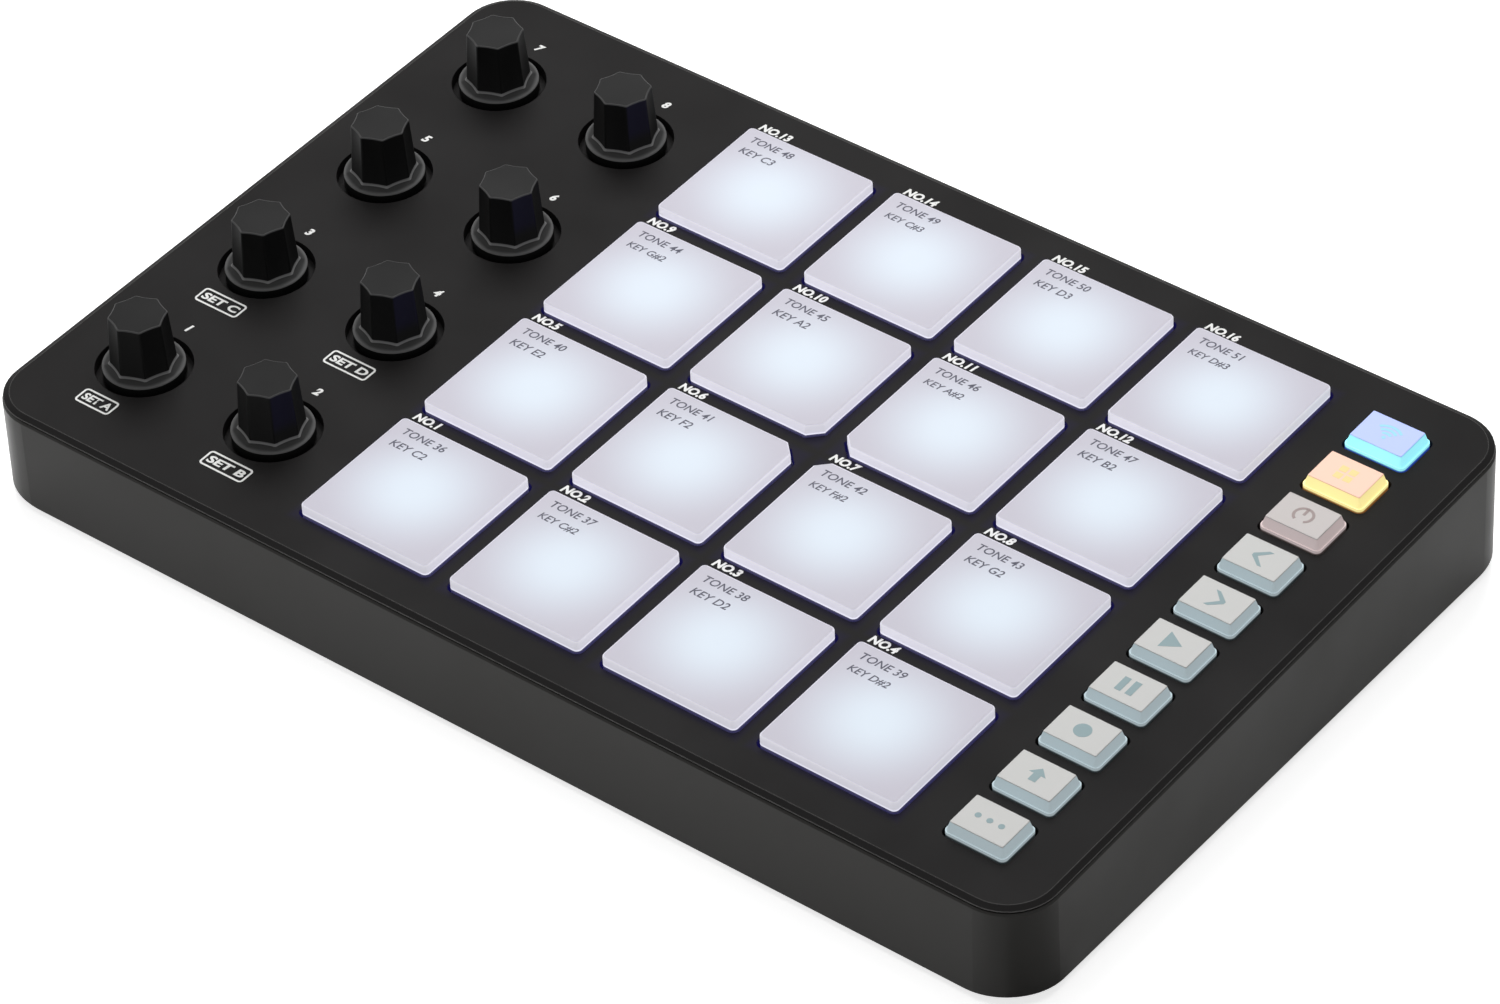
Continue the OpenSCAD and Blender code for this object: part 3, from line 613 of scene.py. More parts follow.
mapped = put(cap_tree, "GeometryNodeStoreNamedAttribute", {
    "Geometry": closed, "Name": "cap_plan", "Value": plan}, data_type="FLOAT2", domain="CORNER")
rim = less(cap_tree, given["Rise"], times(cap_tree, edge, TOP_SHARE))
is_top = sums(cap_tree, "GREATER_THAN", axis_of(cap_tree, position, "Z"), rim)
topped = put(cap_tree, "GeometryNodeSetMaterial", {
    "Geometry": coated(cap_tree, mapped.outputs[0], given["Side finish"]), "Selection": is_top,
    "Material": given["Top finish"]})
cap_tree.links.new(topped.outputs[0], result[0])
print("raised_cap has", len(cap_tree.nodes), "nodes")

# %% [markdown]
# ## Lit pads
#
# Each pad is a block of milky silicone with a light under its middle. On the real thing the light
# spreads inside the silicone: the top is brightest and a little blue in the middle, it fades to the
# silicone's own lilac grey at the edges, the sides are as pale, a bright line runs along their foot, and
# down in the gap it glows deep blue. A true volume would be slow and would not survive an export, so the
# glow is painted as emission: a soft disc on the cap's own plan coordinates for the top, and bands by
# height above the plate for the sides. Top and sides blend by the way that the skin faces, so no hard
# line shows round the soft edge.

# %% The finish of a lit pad
PAD_GREY = screen(202, 200, 210)
TOP_EDGE_GLOW = (0.04, 0.035, 0.05, 1)
CORE_GLOW = (0.215, 0.305, 0.335, 1)
CORE_SPAN = (0.62, 0.04)
# The sides' glow is partly painted light: besides the light inside the silicone, it lifts the sides, which
# the lamps light less, to the top's brightness
SIDE_GLOW = (0.505, 0.5, 0.55, 1)
FOOT_GLOW = (0.8, 0.8, 0.92, 1)
FOOT_GLOW_STARTS = (0.0, 0.1 * MM)
FOOT_GLOW_ENDS = (0.5 * MM, 0.15 * MM)
GAP_GLOW = (0.004, 0.003, 0.04, 1)
GAP_TO_SIDE = (-0.05 * MM, 0.15 * MM)
TOP_POWER = 4.0


def glowing(finish, colour):
    """Gives a finish an emission colour from a socket of its tree."""
    wire(finish.node_tree, main_shader(finish), {"Emission Color": colour, "Emission Strength": 1.0})
    return finish


def lit_side(name, body, glow, gap_glow, span):
    """Silicone whose glow turns from a gap colour to a side colour between two heights."""
    finish = grained(name, body, rough=0.5, grain=0.2 * MM, relief=0.006 * MM, drift=0.02, gloss=0.2)
    tree = finish.node_tree
    return glowing(finish, blended(tree, eased(tree, plate_height(tree), *span), gap_glow, glow))


pad_skin = lit_side("lit_pad", PAD_GREY, SIDE_GLOW, GAP_GLOW, GAP_TO_SIDE)
tree = pad_skin.node_tree
height = plate_height(tree)
at_foot = times(tree, eased(tree, height, *FOOT_GLOW_ENDS), eased(tree, height, *FOOT_GLOW_STARTS))
sides = blended(tree, at_foot, feed_of(pad_skin, "Emission Color"), FOOT_GLOW)
plan = put(tree, "ShaderNodeUVMap", uv_map="cap_plan").outputs[0]
from_middle = vectors(tree, "LENGTH", vectors(tree, "SUBTRACT", plan, MIDDLE))
top = blended(tree, eased(tree, from_middle, *CORE_SPAN), TOP_EDGE_GLOW, CORE_GLOW)
upwards = sums(tree, "MAXIMUM", facing(tree, plate_normal), 0.0)
glowing(pad_skin, blended(tree, sums(tree, "POWER", upwards, TOP_POWER), sides, top))
print("the finish of a pad has", len(tree.nodes), "nodes")

# %% Grow the sixteen pads
PAD_RISE = plate_box("pad_01")[1].z
PAD_CORNER = 1.0 * MM
PAD_CUT = 2.5 * MM
PAD_EDGE = 0.45 * MM
PAD_FOOT = 3.2 * MM
PAD_SHOWS = 0.3 * MM

pad_boxes = {name: plate_box(name, PAD_SHOWS) for name in pad_names}
first_low, first_high = pad_boxes["pad_01"]
pad_side = first_high.x - first_low.x
grid_centre = sum((plan_centre(*box) for box in pad_boxes.values()), Vector()) / len(pad_boxes)
for name, box in pad_boxes.items():
    centre = plan_centre(*box)
    to_middle = grid_centre - centre
    near = max(abs(to_middle.x), abs(to_middle.y)) < pad_side
    corner_way = (math.copysign(1, to_middle.x), math.copysign(1, to_middle.y), 0) if near else (0, 0, 0)
    pad = grow(name + "_cap", cap_tree, {
        "Width": pad_side, "Depth": pad_side, "Corner": PAD_CORNER, "Cut": PAD_CUT, "Cut towards": corner_way,
        "Foot": PAD_FOOT, "Ledge": 0.0, "Ledge inset": 0.0, "Rise": PAD_RISE, "Lean": 0.0, "Edge": PAD_EDGE,
        "Side finish": pad_skin, "Top finish": pad_skin}, PLATE @ Matrix.Translation(centre))
    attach(pad, name)
    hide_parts(name)
print("pads are", round(pad_side / MM, 2), "mm square and rise", round(PAD_RISE / MM, 2), "mm,",
      len(pad.data.polygons), "faces each")

# %% [markdown]
# Some of the blue light spills out of the gaps on to the plate. Real light would have to find its way up a
# slit half a millimetre wide, which renders slowly and with noise, so the plate's finish gets the spill by
# a rule instead: the distance to the nearest pad follows from the grid's pitch, and the glow fades with it.

# %% Blue spill on the plate
GRID_COUNT = 4
BLACK = (0, 0, 0, 1)
SPILL_WALL = (0.004, 0.003, 0.05, 1)
SPILL_TOP = (0.001, 0.0, 0.012, 1)
SPILL_FADE = (2.4 * MM, 0.6 * MM)
SPILL_DOWN = (0.0, -0.1 * MM)

pad_pitch = pad_boxes["pad_02"][0].x - first_low.x
first_pad = plan_centre(first_low, first_high)


def beside_grid(along, first):
    """Distance from the nearest pad's middle line, and 1 inside the grid's reach."""
    start = less(plate_tree, along, first)
    nearest = sums(plate_tree, "ABSOLUTE", sums(plate_tree, "WRAP", start, pad_pitch / 2, -pad_pitch / 2))
    from_middle = sums(plate_tree, "ABSOLUTE", less(plate_tree, start, (GRID_COUNT - 1) * pad_pitch / 2))
    return nearest, sums(plate_tree, "LESS_THAN", from_middle, GRID_COUNT * pad_pitch / 2)


plate_back = (0, math.cos(plate_tilt), math.sin(plate_tilt))
across, across_in = beside_grid(reach(plate_tree, from_plate, (1, 0, 0)), first_pad.x)
back, back_in = beside_grid(reach(plate_tree, from_plate, plate_back), first_pad.y)
beside = less(plate_tree, sums(plate_tree, "MAXIMUM", across, back), pad_side / 2)
fade = times(plate_tree, eased(plate_tree, beside, *SPILL_FADE), times(plate_tree, across_in, back_in))
down = eased(plate_tree, plate_height(plate_tree), *SPILL_DOWN)
glowing(plate_skin, blended(plate_tree, fade, BLACK, blended(plate_tree, down, SPILL_TOP, SPILL_WALL)))
print("pads stand", round(pad_pitch / MM, 2), "mm apart")

# %% [markdown]
# ## Buttons
#
# A button is blue-grey silicone with white paint on its top, and the sign on it is where the paint was
# burnt away by a laser. Its sides lean in from a low straight foot, with a fine ledge that catches the
# light. Two of them are lit, one blue and one amber, and the third has a warm grey body, so each of
# these has finishes of its own.

# %% Button finishes
BUTTON_GAP = (-0.3 * MM, -0.02 * MM)


def button_finish(name, body, glow, gap_glow):
    """A button's silicone or paint with a glow of a little of its own colour: its LED light on a lit button,
    painted light on an unlit one.
    """
    return lit_side(name, screen(*body), screen(*glow), screen(*gap_glow), BUTTON_GAP)


# The grey buttons are not lit: their glow is painted light that brightens their sides
grey_body = button_finish("grey_button", (146, 164, 170), (144, 155, 159), (20, 23, 25))
grey_top = button_finish("painted_button", (212, 212, 210), (10, 10, 10), (10, 10, 10))
warm_body = button_finish("warm_button", (182, 166, 164), (158, 146, 146), (30, 25, 24))
warm_top = button_finish("warm_painted_button", (211, 205, 203), (10, 10, 10), (10, 10, 10))
amber_body = button_finish("amber_button", (240, 220, 165), (225, 212, 140), (110, 60, 12))
amber_top = button_finish("amber_painted_button", (226, 205, 190), (165, 110, 85), (165, 110, 85))
blue_body = button_finish("blue_button", (140, 215, 235), (142, 220, 228), (18, 36, 140))
blue_top = button_finish("blue_painted_button", (202, 190, 225), (40, 122, 185), (40, 122, 185))
button_looks = {"button_01": (blue_body, blue_top), "button_02": (amber_body, amber_top),
                "button_03": (warm_body, warm_top)}
print("three buttons have finishes of their own:", sorted(button_looks))

# %% Grow the ten buttons
BUTTON_CORNER = 1.1 * MM
BUTTON_LEDGE = 0.45 * MM
BUTTON_LEDGE_IN = 0.22 * MM
BUTTON_LEAN = math.tan(math.radians(18.5))
BUTTON_EDGE = 0.15 * MM
BUTTON_FOOT = 3.2 * MM
BUTTON_SHOWS = 0.05 * MM

button_tops = {}
for name in button_names:
    low, high = plate_box(name, BUTTON_SHOWS)
    centre = plan_centre(low, high)
    side, top = button_looks.get(name, (grey_body, grey_top))
    button = grow(name + "_cap", cap_tree, {
        "Width": high.x - low.x, "Depth": high.y - low.y, "Corner": BUTTON_CORNER, "Cut": 0.0,
        "Cut towards": (0, 0, 0), "Foot": BUTTON_FOOT, "Ledge": BUTTON_LEDGE, "Ledge inset": BUTTON_LEDGE_IN,
        "Rise": high.z, "Lean": BUTTON_LEAN, "Edge": BUTTON_EDGE, "Side finish": side, "Top finish": top},
        PLATE @ Matrix.Translation(centre))
    button_tops[name] = centre + Vector((0, 0, high.z))
    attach(button, name)
    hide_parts(name)
print("buttons rise", round(high.z / MM, 2), "mm,", len(button.data.polygons), "faces each")

# %% [markdown]
# ## Knobs
#
# A knob is a black push-on moulding: a round skirt in a well, and an eight-sided grip that tapers to the
# top, with slightly hollow sides for the fingertips. Eight boolean cuts would give the sides, but the
# edges between them would stay razor sharp. A rule does it better: each ring of the knob is a circle
# whose radius follows the angle, hollow between the corners and clipped just below them, so that the
# corners come out rounded and catch a line of light. Lighter greys are painted in as highlights where the
# black turns up: on the skirt, most of all at its rim, at the grip's foot and round its top edge. The knobs
# next to the pads take a blue sheen on the sides that face them, given as a faint glow by the way that each
# side faces.

# %% One ring of a knob
HALF_SIDE = math.pi / 8

ring_step, given, result, raised = new_step(
    "ring_step", sizes("Radius", "Eight sided", "Hollow", "Corner clip"))
position = put(ring_step, "GeometryNodeInputPosition").outputs[0]
angle = sums(ring_step, "ARCTAN2", axis_of(ring_step, position, "Y"), axis_of(ring_step, position, "X"))
from_flat = sums(ring_step, "WRAP", less(ring_step, angle, HALF_SIDE), HALF_SIDE, -HALF_SIDE)
flat = times(ring_step, given["Radius"], math.cos(HALF_SIDE))
along = sums(ring_step, "DIVIDE", sums(ring_step, "TANGENT", from_flat), math.tan(HALF_SIDE))
bowl = less(ring_step, 1.0, times(ring_step, along, along))
hollowed = less(ring_step, flat, times(ring_step, given["Hollow"], bowl))
eight = sums(ring_step, "DIVIDE", hollowed, sums(ring_step, "COSINE", from_flat))
clipped = sums(ring_step, "MINIMUM", eight, less(ring_step, given["Radius"], given["Corner clip"]))
radius = put(ring_step, "ShaderNodeMix", {
    "Factor": given["Eight sided"], "A": given["Radius"], "B": clipped}).outputs[0]
ring_x = times(ring_step, radius, sums(ring_step, "COSINE", angle))
ring_y = times(ring_step, radius, sums(ring_step, "SINE", angle))
on_ring = combined(ring_step, X=ring_x, Y=ring_y, Z=axis_of(ring_step, position, "Z"))
end_step(ring_step, raised, result, {"Position": on_ring})
print("ring_step has", len(ring_step.nodes), "nodes")

# %% The tree of a whole knob
AROUND = 192
ROLL_STEPS = 3

knob_tree, given, result = new_tree("eight_sided_knob", sizes(
    "Skirt radius", "Skirt bottom", "Skirt top", "Grip foot radius", "Grip top radius", "Foot spread", "Cone",
    "Top", "Hollow", "Foot hollow", "Corner clip", "Edge") + [("Finish", "finish")])
edge, spread = given["Edge"], given["Foot spread"]
skirt_r, grip_r, top_r = (given[label] for label in ("Skirt radius", "Grip foot radius", "Grip top radius"))


def disc_at(tree, sides, radius, place):
    """A flat disc with its middle at a place."""
    flat_disc = put(tree, "GeometryNodeMeshCircle", {"Vertices": sides, "Radius": radius}, fill_type="NGON")
    moved = put(tree, "GeometryNodeTransform", {"Geometry": flat_disc.outputs[0], "Translation": place})
    return moved.outputs[0]


def ring(rise, radius, sided=0.0, hollow="Hollow"):
    """What one ring of the knob is given."""
    return {"Rise": rise, "Radius": radius, "Eight sided": sided, "Hollow": given[hollow],
            "Corner clip": given["Corner clip"]}


def rolled(radius, sided=0.0):
    """Rings that roll an edge over along a quarter circle."""
    return [ring(times(knob_tree, edge, rise), less(knob_tree, radius, times(knob_tree, edge, so_far)), sided)
            for rise, inset, so_far in quarter(ROLL_STEPS)]


bottom = combined(knob_tree, Z=given["Skirt bottom"])
start = disc_at(knob_tree, AROUND, less(knob_tree, skirt_r, edge), bottom)
skirt_rise = less(knob_tree, given["Skirt top"], given["Skirt bottom"], times(knob_tree, edge, 2.0))
foot_r = sums(knob_tree, "ADD", grip_r, spread)
grip_rise = less(knob_tree, given["Top"], given["Skirt top"], given["Cone"], spread, edge)
rows = [ring(edge, skirt_r), ring(skirt_rise, skirt_r)] + rolled(skirt_r) + [
    ring(given["Cone"], foot_r, 1.0, "Foot hollow"), ring(spread, grip_r, 1.0),
    ring(grip_rise, top_r, 1.0)] + rolled(top_r, 1.0)
closed = stacked(knob_tree, ring_step, start, rows)
knob_tree.links.new(coated(knob_tree, closed, given["Finish"]), result[0])
print("eight_sided_knob has", len(knob_tree.nodes), "nodes")

# %% The finishes of the knobs
KNOB_BLACK = screen(13, 13, 13)
KNOB_TOP = plate_box("knob_1")[1].z
SKIRT_TOP = 0.8 * MM
SKIRT_HIGHLIGHT = screen(46, 46, 46)
RIM_HIGHLIGHT = screen(92, 92, 92)
FOOT_HIGHLIGHT = screen(125, 125, 125)
TOP_EDGE_HIGHLIGHT = screen(76, 76, 76)
# Pairs of heights or of upward facings, from where a painted highlight is not seen to where it is full
RIM_SPAN = (SKIRT_TOP + 0.24 * MM, SKIRT_TOP - 0.05 * MM)
FOOT_SPAN, FOOT_TURN = (1.8 * MM, 1.7 * MM), (0.2, 0.5)
SKIRT_SPAN, SKIRT_TURN = (1.38 * MM, 1.3 * MM), (0.3, 0.65)
TOP_EDGE_SPAN, TOP_EDGE_TURN = (KNOB_TOP - 0.3 * MM, KNOB_TOP - 0.2 * MM), (0.985, 0.95)
TO_PADS = Vector((0.97, -0.24, 0))
SHEEN = (0.0003, 0.0, 0.0055, 1)
SHEEN_SPAN, SHEEN_TURN = (3 * MM, 6 * MM), (0.8, 1.0)


def knob_finish(name):
    """Soft black with painted highlights on its skirt, foot and top edge, where it faces up."""
    finish = grained(name, KNOB_BLACK, rough=0.5, grain=0.2 * MM, relief=0.008 * MM, gloss=0.08)
    tree = finish.node_tree
    height = plate_height(tree)
    upwards = facing(tree, plate_normal)
    colour = feed_of(finish, "Base Color")
    skirt = blended(tree, eased(tree, height, *RIM_SPAN), SKIRT_HIGHLIGHT, RIM_HIGHLIGHT)
    for highlight_grey, heights, turns in ((FOOT_HIGHLIGHT, FOOT_SPAN, FOOT_TURN), (skirt, SKIRT_SPAN, SKIRT_TURN),
                                  (TOP_EDGE_HIGHLIGHT, TOP_EDGE_SPAN, TOP_EDGE_TURN)):
        share = times(tree, eased(tree, height, *heights), eased(tree, upwards, *turns))
        colour = blended(tree, share, colour, highlight_grey)
    wire(tree, main_shader(finish), {"Base Color": colour})
    return finish


knob_skin = knob_finish("soft_black_knob")
near_skin = knob_finish("soft_black_knob_by_pads")
tree = near_skin.node_tree
to_pads = eased(tree, facing(tree, TO_PADS), *SHEEN_TURN)
sheen = times(tree, to_pads, eased(tree, plate_height(tree), *SHEEN_SPAN))
glowing(near_skin, blended(tree, sheen, BLACK, SHEEN))
print("the finish of a knob has", len(knob_skin.node_tree.nodes), "nodes")

# %% Grow the eight knobs
GRIP_FOOT_D = 12.4 * MM
GRIP_TOP_D = 11.1 * MM
SKIRT_CONE = 0.5 * MM
FOOT_SPREAD = 0.4 * MM
GRIP_HOLLOW = 0.18 * MM
FOOT_HOLLOW = 0.25 * MM
CORNER_CLIP = 0.09 * MM
KNOB_EDGE = 0.28 * MM

for name, post in zip(knob_names, knob_posts):
    low, high = plate_box(name)
    by_pads = int(name[-1]) % 2 == 0
    knob = grow(name + "_cap", knob_tree, {
        "Skirt radius": (high.x - low.x) / 2, "Skirt bottom": low.z, "Skirt top": SKIRT_TOP,
        "Grip foot radius": GRIP_FOOT_D / 2, "Grip top radius": GRIP_TOP_D / 2, "Foot spread": FOOT_SPREAD,
        "Cone": SKIRT_CONE, "Top": high.z, "Hollow": GRIP_HOLLOW, "Foot hollow": FOOT_HOLLOW,
        "Corner clip": CORNER_CLIP, "Edge": KNOB_EDGE, "Finish": near_skin if by_pads else knob_skin},
        PLATE @ Matrix.Translation(FROM_PLATE @ post))
    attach(knob, name)
    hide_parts(name)
print("knobs reach", round(high.z / MM, 2), "mm above the plate,", len(knob.data.polygons), "faces each")

# %% [markdown]
# ## Screws and feet
#
# Under the case sit six screws in deep holes and four rubber feet. Both repeat, so each is drawn once
# and set on a cloud of points by Geometry Nodes. The points come from the frame: the corners of the
# screws' and feet's frame nodes fall into separate clumps, and each clump's middle is a place.

# %% Find the clumps
SCREW_REACH = 8 * MM
FOOT_REACH = 14 * MM


def clumps(points, within):
    """Lowest and highest corner of each group of points that lie near the group's first."""
    groups = []
    for point in points:
        for group in groups:
            if abs(point[0] - group[0][0]) < within and abs(point[1] - group[0][1]) < within:
                group.append(point)
                break
        else:
            groups.append([point])
    return [(Vector(np.min(group, axis=0)), Vector(np.max(group, axis=0))) for group in groups]


screw_boxes = clumps(plate_points("case_screws"), SCREW_REACH)
foot_boxes = clumps([v.co for v in nodes["feet"].data.vertices], FOOT_REACH)
print(len(screw_boxes), "screws and", len(foot_boxes), "feet")

# %% [markdown]
# Screws and feet are turned pieces, so both grow from the same rings as the knobs, only round ones. A
# screw has a worn pan head with a cross recess, cut out by two crossed bars, and a thread drawn as rings. A
# foot has a soft rim round a shallow dish. Each tree draws its piece once and sets it on the points that it
# is given.

# %% The tree of the screws
ROUND_SIDES = 32
HEAD_R = 2.4 * MM
HEAD_H = 1.6 * MM
HEAD_EDGE = 0.3 * MM
SHANK_R = 1.2 * MM
THREAD_DEPTH = 0.25 * MM
THREAD_PITCH = 1.0 * MM
THREADS = 9
TIP = 0.5 * MM
BAR_LONG = 2.7 * MM
BAR_WIDE = 0.55 * MM
# The two bars differ in depth, so that no two of their faces lie in one plane
BAR_DEPTHS = (2.0 * MM, 1.8 * MM)


def set_on_points(tree, points, shape, finish):
    """Copies of a shape on points, made one mesh with a finish."""
    copies = put(tree, "GeometryNodeInstanceOnPoints", {"Points": points, "Instance": shape})
    return coated(tree, copies.outputs[0], finish)


def turned(tree, radius, height, rings):
    """A turned piece from a first disc and (rise, radius) rings."""
    first = disc_at(tree, ROUND_SIDES, radius, (0, 0, height))
    rows = [{"Rise": rise, "Radius": size, "Eight sided": 0.0} for rise, size in rings]
    closed = stacked(tree, ring_step, first, rows)
    return put(tree, "GeometryNodeMergeByDistance", {"Geometry": closed, "Distance": WELD}).outputs[0]


screw_tree, given, result = new_tree("cross_screws", [("Geometry", "shape"), ("Finish", "finish")])
screw_rings = [(HEAD_EDGE, HEAD_R), (HEAD_H - HEAD_EDGE, HEAD_R), (0.0, SHANK_R - THREAD_DEPTH)]
screw_rings += [(THREAD_PITCH / 2, SHANK_R), (THREAD_PITCH / 2, SHANK_R - THREAD_DEPTH)] * THREADS
screw_rings.append((TIP, SHANK_R / 2))
blank = turned(screw_tree, HEAD_R - HEAD_EDGE, -HEAD_H, screw_rings)
recess = put(screw_tree, "GeometryNodeMeshBoolean", {"Mesh 1": blank}, operation="DIFFERENCE")
for size in ((BAR_LONG, BAR_WIDE, BAR_DEPTHS[0]), (BAR_WIDE, BAR_LONG, BAR_DEPTHS[1])):
    cutter = put(screw_tree, "GeometryNodeMeshCube", {"Size": size})
    in_head = put(screw_tree, "GeometryNodeTransform", {
        "Geometry": cutter.outputs[0], "Translation": (0, 0, -HEAD_H)})
    screw_tree.links.new(in_head.outputs[0], recess.inputs["Mesh 2"])
spread_screws = set_on_points(screw_tree, given["Geometry"], recess.outputs[0], given["Finish"])
screw_tree.links.new(spread_screws, result[0])
print("cross_screws has", len(screw_tree.nodes), "nodes")

# %% The tree of the feet
foot_low, foot_high = foot_boxes[0]
FOOT_R = (foot_high.x - foot_low.x) / 2
FOOT_TALL = foot_high.z - foot_low.z
FOOT_SOFT = 0.5 * MM
# Drop and draw-in of each step of the soft rim, as shares of FOOT_SOFT
SOFT_RIM = ((0.3, 0.05), (0.4, 0.3), (0.25, 0.65), (0.05, 1.0))
DISH = 0.25 * MM
DISH_RIM_R = 0.72 * FOOT_R
DISH_FLOOR_R = 0.62 * FOOT_R

foot_tree, given, result = new_tree("dished_feet", [("Geometry", "shape"), ("Finish", "finish")])
foot_rings = [(FOOT_SOFT - FOOT_TALL, FOOT_R)]
foot_rings += [(-drop * FOOT_SOFT, FOOT_R - inset * FOOT_SOFT) for drop, inset in SOFT_RIM]
foot_rings += [(0.0, DISH_RIM_R), (DISH, DISH_FLOOR_R)]
foot_shape = turned(foot_tree, FOOT_R, FOOT_TALL, foot_rings)
foot_tree.links.new(set_on_points(foot_tree, given["Geometry"], foot_shape, given["Finish"]), result[0])
print("feet are", round(2 * FOOT_R / MM, 2), "mm across")

# %% Grow the screws and the feet
dark_steel = grained("dark_screw_steel", screen(112, 112, 114), rough=0.38, grain=0.15 * MM,
                     relief=0.004 * MM, metal=1.0)
rubber = grained("foot_rubber", screen(34, 34, 34), rough=0.7, grain=0.25 * MM, relief=0.012 * MM)


def seats(name, found, up):
    """A mesh of single points, in the middle of each box and so far above its bottom."""
    mesh = bpy.data.meshes.new(name)
    mesh.from_pydata([plan_centre(low, high) + Vector((0, 0, low.z + up)) for low, high in found], [], [])
    return mesh


screw_seats = seats("screw_seats", screw_boxes, HEAD_H)
screws = grow("cross_screws", screw_tree, {"Finish": dark_steel}, PLATE, screw_seats)
foot_seats = seats("foot_soles", foot_boxes, 0.0)
feet = grow("dished_feet", foot_tree, {"Finish": rubber}, Matrix(), foot_seats)
for piece, name, slot in ((screws, "case_screws", "screw_steel"), (feet, "feet", "foot_rubber")):
    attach(piece, "case")
    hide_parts(name)
print("screws have", len(screws.data.polygons), "faces and feet", len(feet.data.polygons))

# %% [markdown]
# ## Prints and signs
#
# The plate is screen printed in white, the pads in grey, and the button tops carry signs in the colour of
# the silicone under the paint. Each place holds plain numbers, letters or a simple sign. Print is a film of
# ink, so each sign is a thin closed plate. Letters come from a text object that is made a mesh, and the other
# shapes from their outlines.

# %% Print helpers
INK = 0.03 * MM
SUNK = 0.01 * MM
LETTER_FINENESS = 3
ARC_STEPS = 16
CORNER_STEPS = 5


def inked(outline, holes=()):
    """A thin plate from an outline of (x, y) points, with its upper face INK above zero."""
    plate = bmesh.new()
    levels = [[[plate.verts.new((x, y, level)) for x, y in loop] for loop in (outline, *holes)]
              for level in (-SUNK, INK)]
    for low, high in zip(*levels):
        for k in range(len(low)):
            plate.faces.new((low[k - 1], low[k], high[k], high[k - 1]))
    for loops in levels:
        if holes:
            sides = [plate.edges.get((loop[k - 1], loop[k])) for loop in loops for k in range(len(loop))]
            bmesh.ops.triangle_fill(plate, use_beauty=True, edges=sides)
        else:
            plate.faces.new(loops[0])
    mesh = bpy.data.meshes.new("ink")
    plate.to_mesh(mesh)
    plate.free()
    return mesh


def lettered(words, tall, slant=0.2, weight=0.0):
    """A thin plate in the shape of a line of text with capitals so tall, and its width."""
    curve = bpy.data.curves.new("line", "FONT")
    curve.body = words
    curve.shear = slant
    curve.offset = weight
    curve.extrude = 1.0
    curve.resolution_u = LETTER_FINENESS
    line = add_object("line", curve)
    mesh = frozen(line)
    bpy.data.objects.remove(line)
    bpy.data.curves.remove(curve)
    points = np.array([v.co for v in mesh.vertices])
    low, high = points.min(axis=0), points.max(axis=0)
    scale = tall / (high[1] - low[1])
    shift = Matrix.Translation((-low[0] * scale, -low[1] * scale, (INK - SUNK) / 2))
    mesh.transform(shift @ Matrix.Diagonal((scale, scale, (INK + SUNK) / 2, 1)))
    return mesh, (high[0] - low[0]) * scale


def printed(name, body, finish, films):
    """One piece from thin plates and their places on the face plate, riding on a body."""
    whole = bmesh.new()
    for film, place in films:
        film.transform(place)
        whole.from_mesh(film)
        bpy.data.meshes.remove(film)
    mesh = bpy.data.meshes.new(name)
    whole.to_mesh(mesh)
    whole.free()
    mesh.materials.append(finish)
    tidy_shell(mesh)
    mesh.transform(PLATE)
    piece = add_object(name, mesh)
    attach(piece, body)


def arc(radius, start, end, steps=ARC_STEPS, middle=(0.0, 0.0)):
    """Points along a circle between two angles in degrees."""
    angles = [math.radians(start + (end - start) * k / steps) for k in range(steps + 1)]
    return [(middle[0] + radius * math.cos(a), middle[1] + radius * math.sin(a)) for a in angles]


def rounded_box(wide, deep, round_by):
    """Outline of a rectangle with round corners."""
    points = []
    for k, (sx, sy) in enumerate(((1, 1), (-1, 1), (-1, -1), (1, -1))):
        middle = (sx * (wide / 2 - round_by), sy * (deep / 2 - round_by))
        points += arc(round_by, 90 * k, 90 * k + 90, CORNER_STEPS, middle)
    return points


print("ink is", INK / MM, "mm thick")

# %% White print on the plate
white_ink = grained("white_ink", screen(238, 238, 236), rough=0.6, grain=0.2 * MM, relief=0.004 * MM,
                    drift=0.03, gloss=0.3)
PLATE_PRINT = 2.0 * MM
NUMBER_WEIGHT = 0.045
PAD_NUMBER_BEHIND = 2.1 * MM
PAD_NUMBER_LEFT = 0.25 * MM
KNOB_NUMBER_AT = Vector((-0.1, 12.5, 0)) * MM
FRAME_AT = Vector((-0.2, -12.6, 0)) * MM
FRAME_SIZES = {"knob_1": (8.1 * MM, 3.9 * MM)}
FRAME_SIZES.update({f"knob_{i}": (10.1 * MM, 4.0 * MM) for i in (2, 3, 4)})
FRAME_LINE = 0.4 * MM
FRAME_CORNER = 0.8 * MM
FRAME_TEXT = 1.9 * MM
FRAME_TEXT_MARGIN = 1.6 * MM
FRAME_TEXT_SLANT = 0.1
FRAME_TEXT_WEIGHT = 0.035

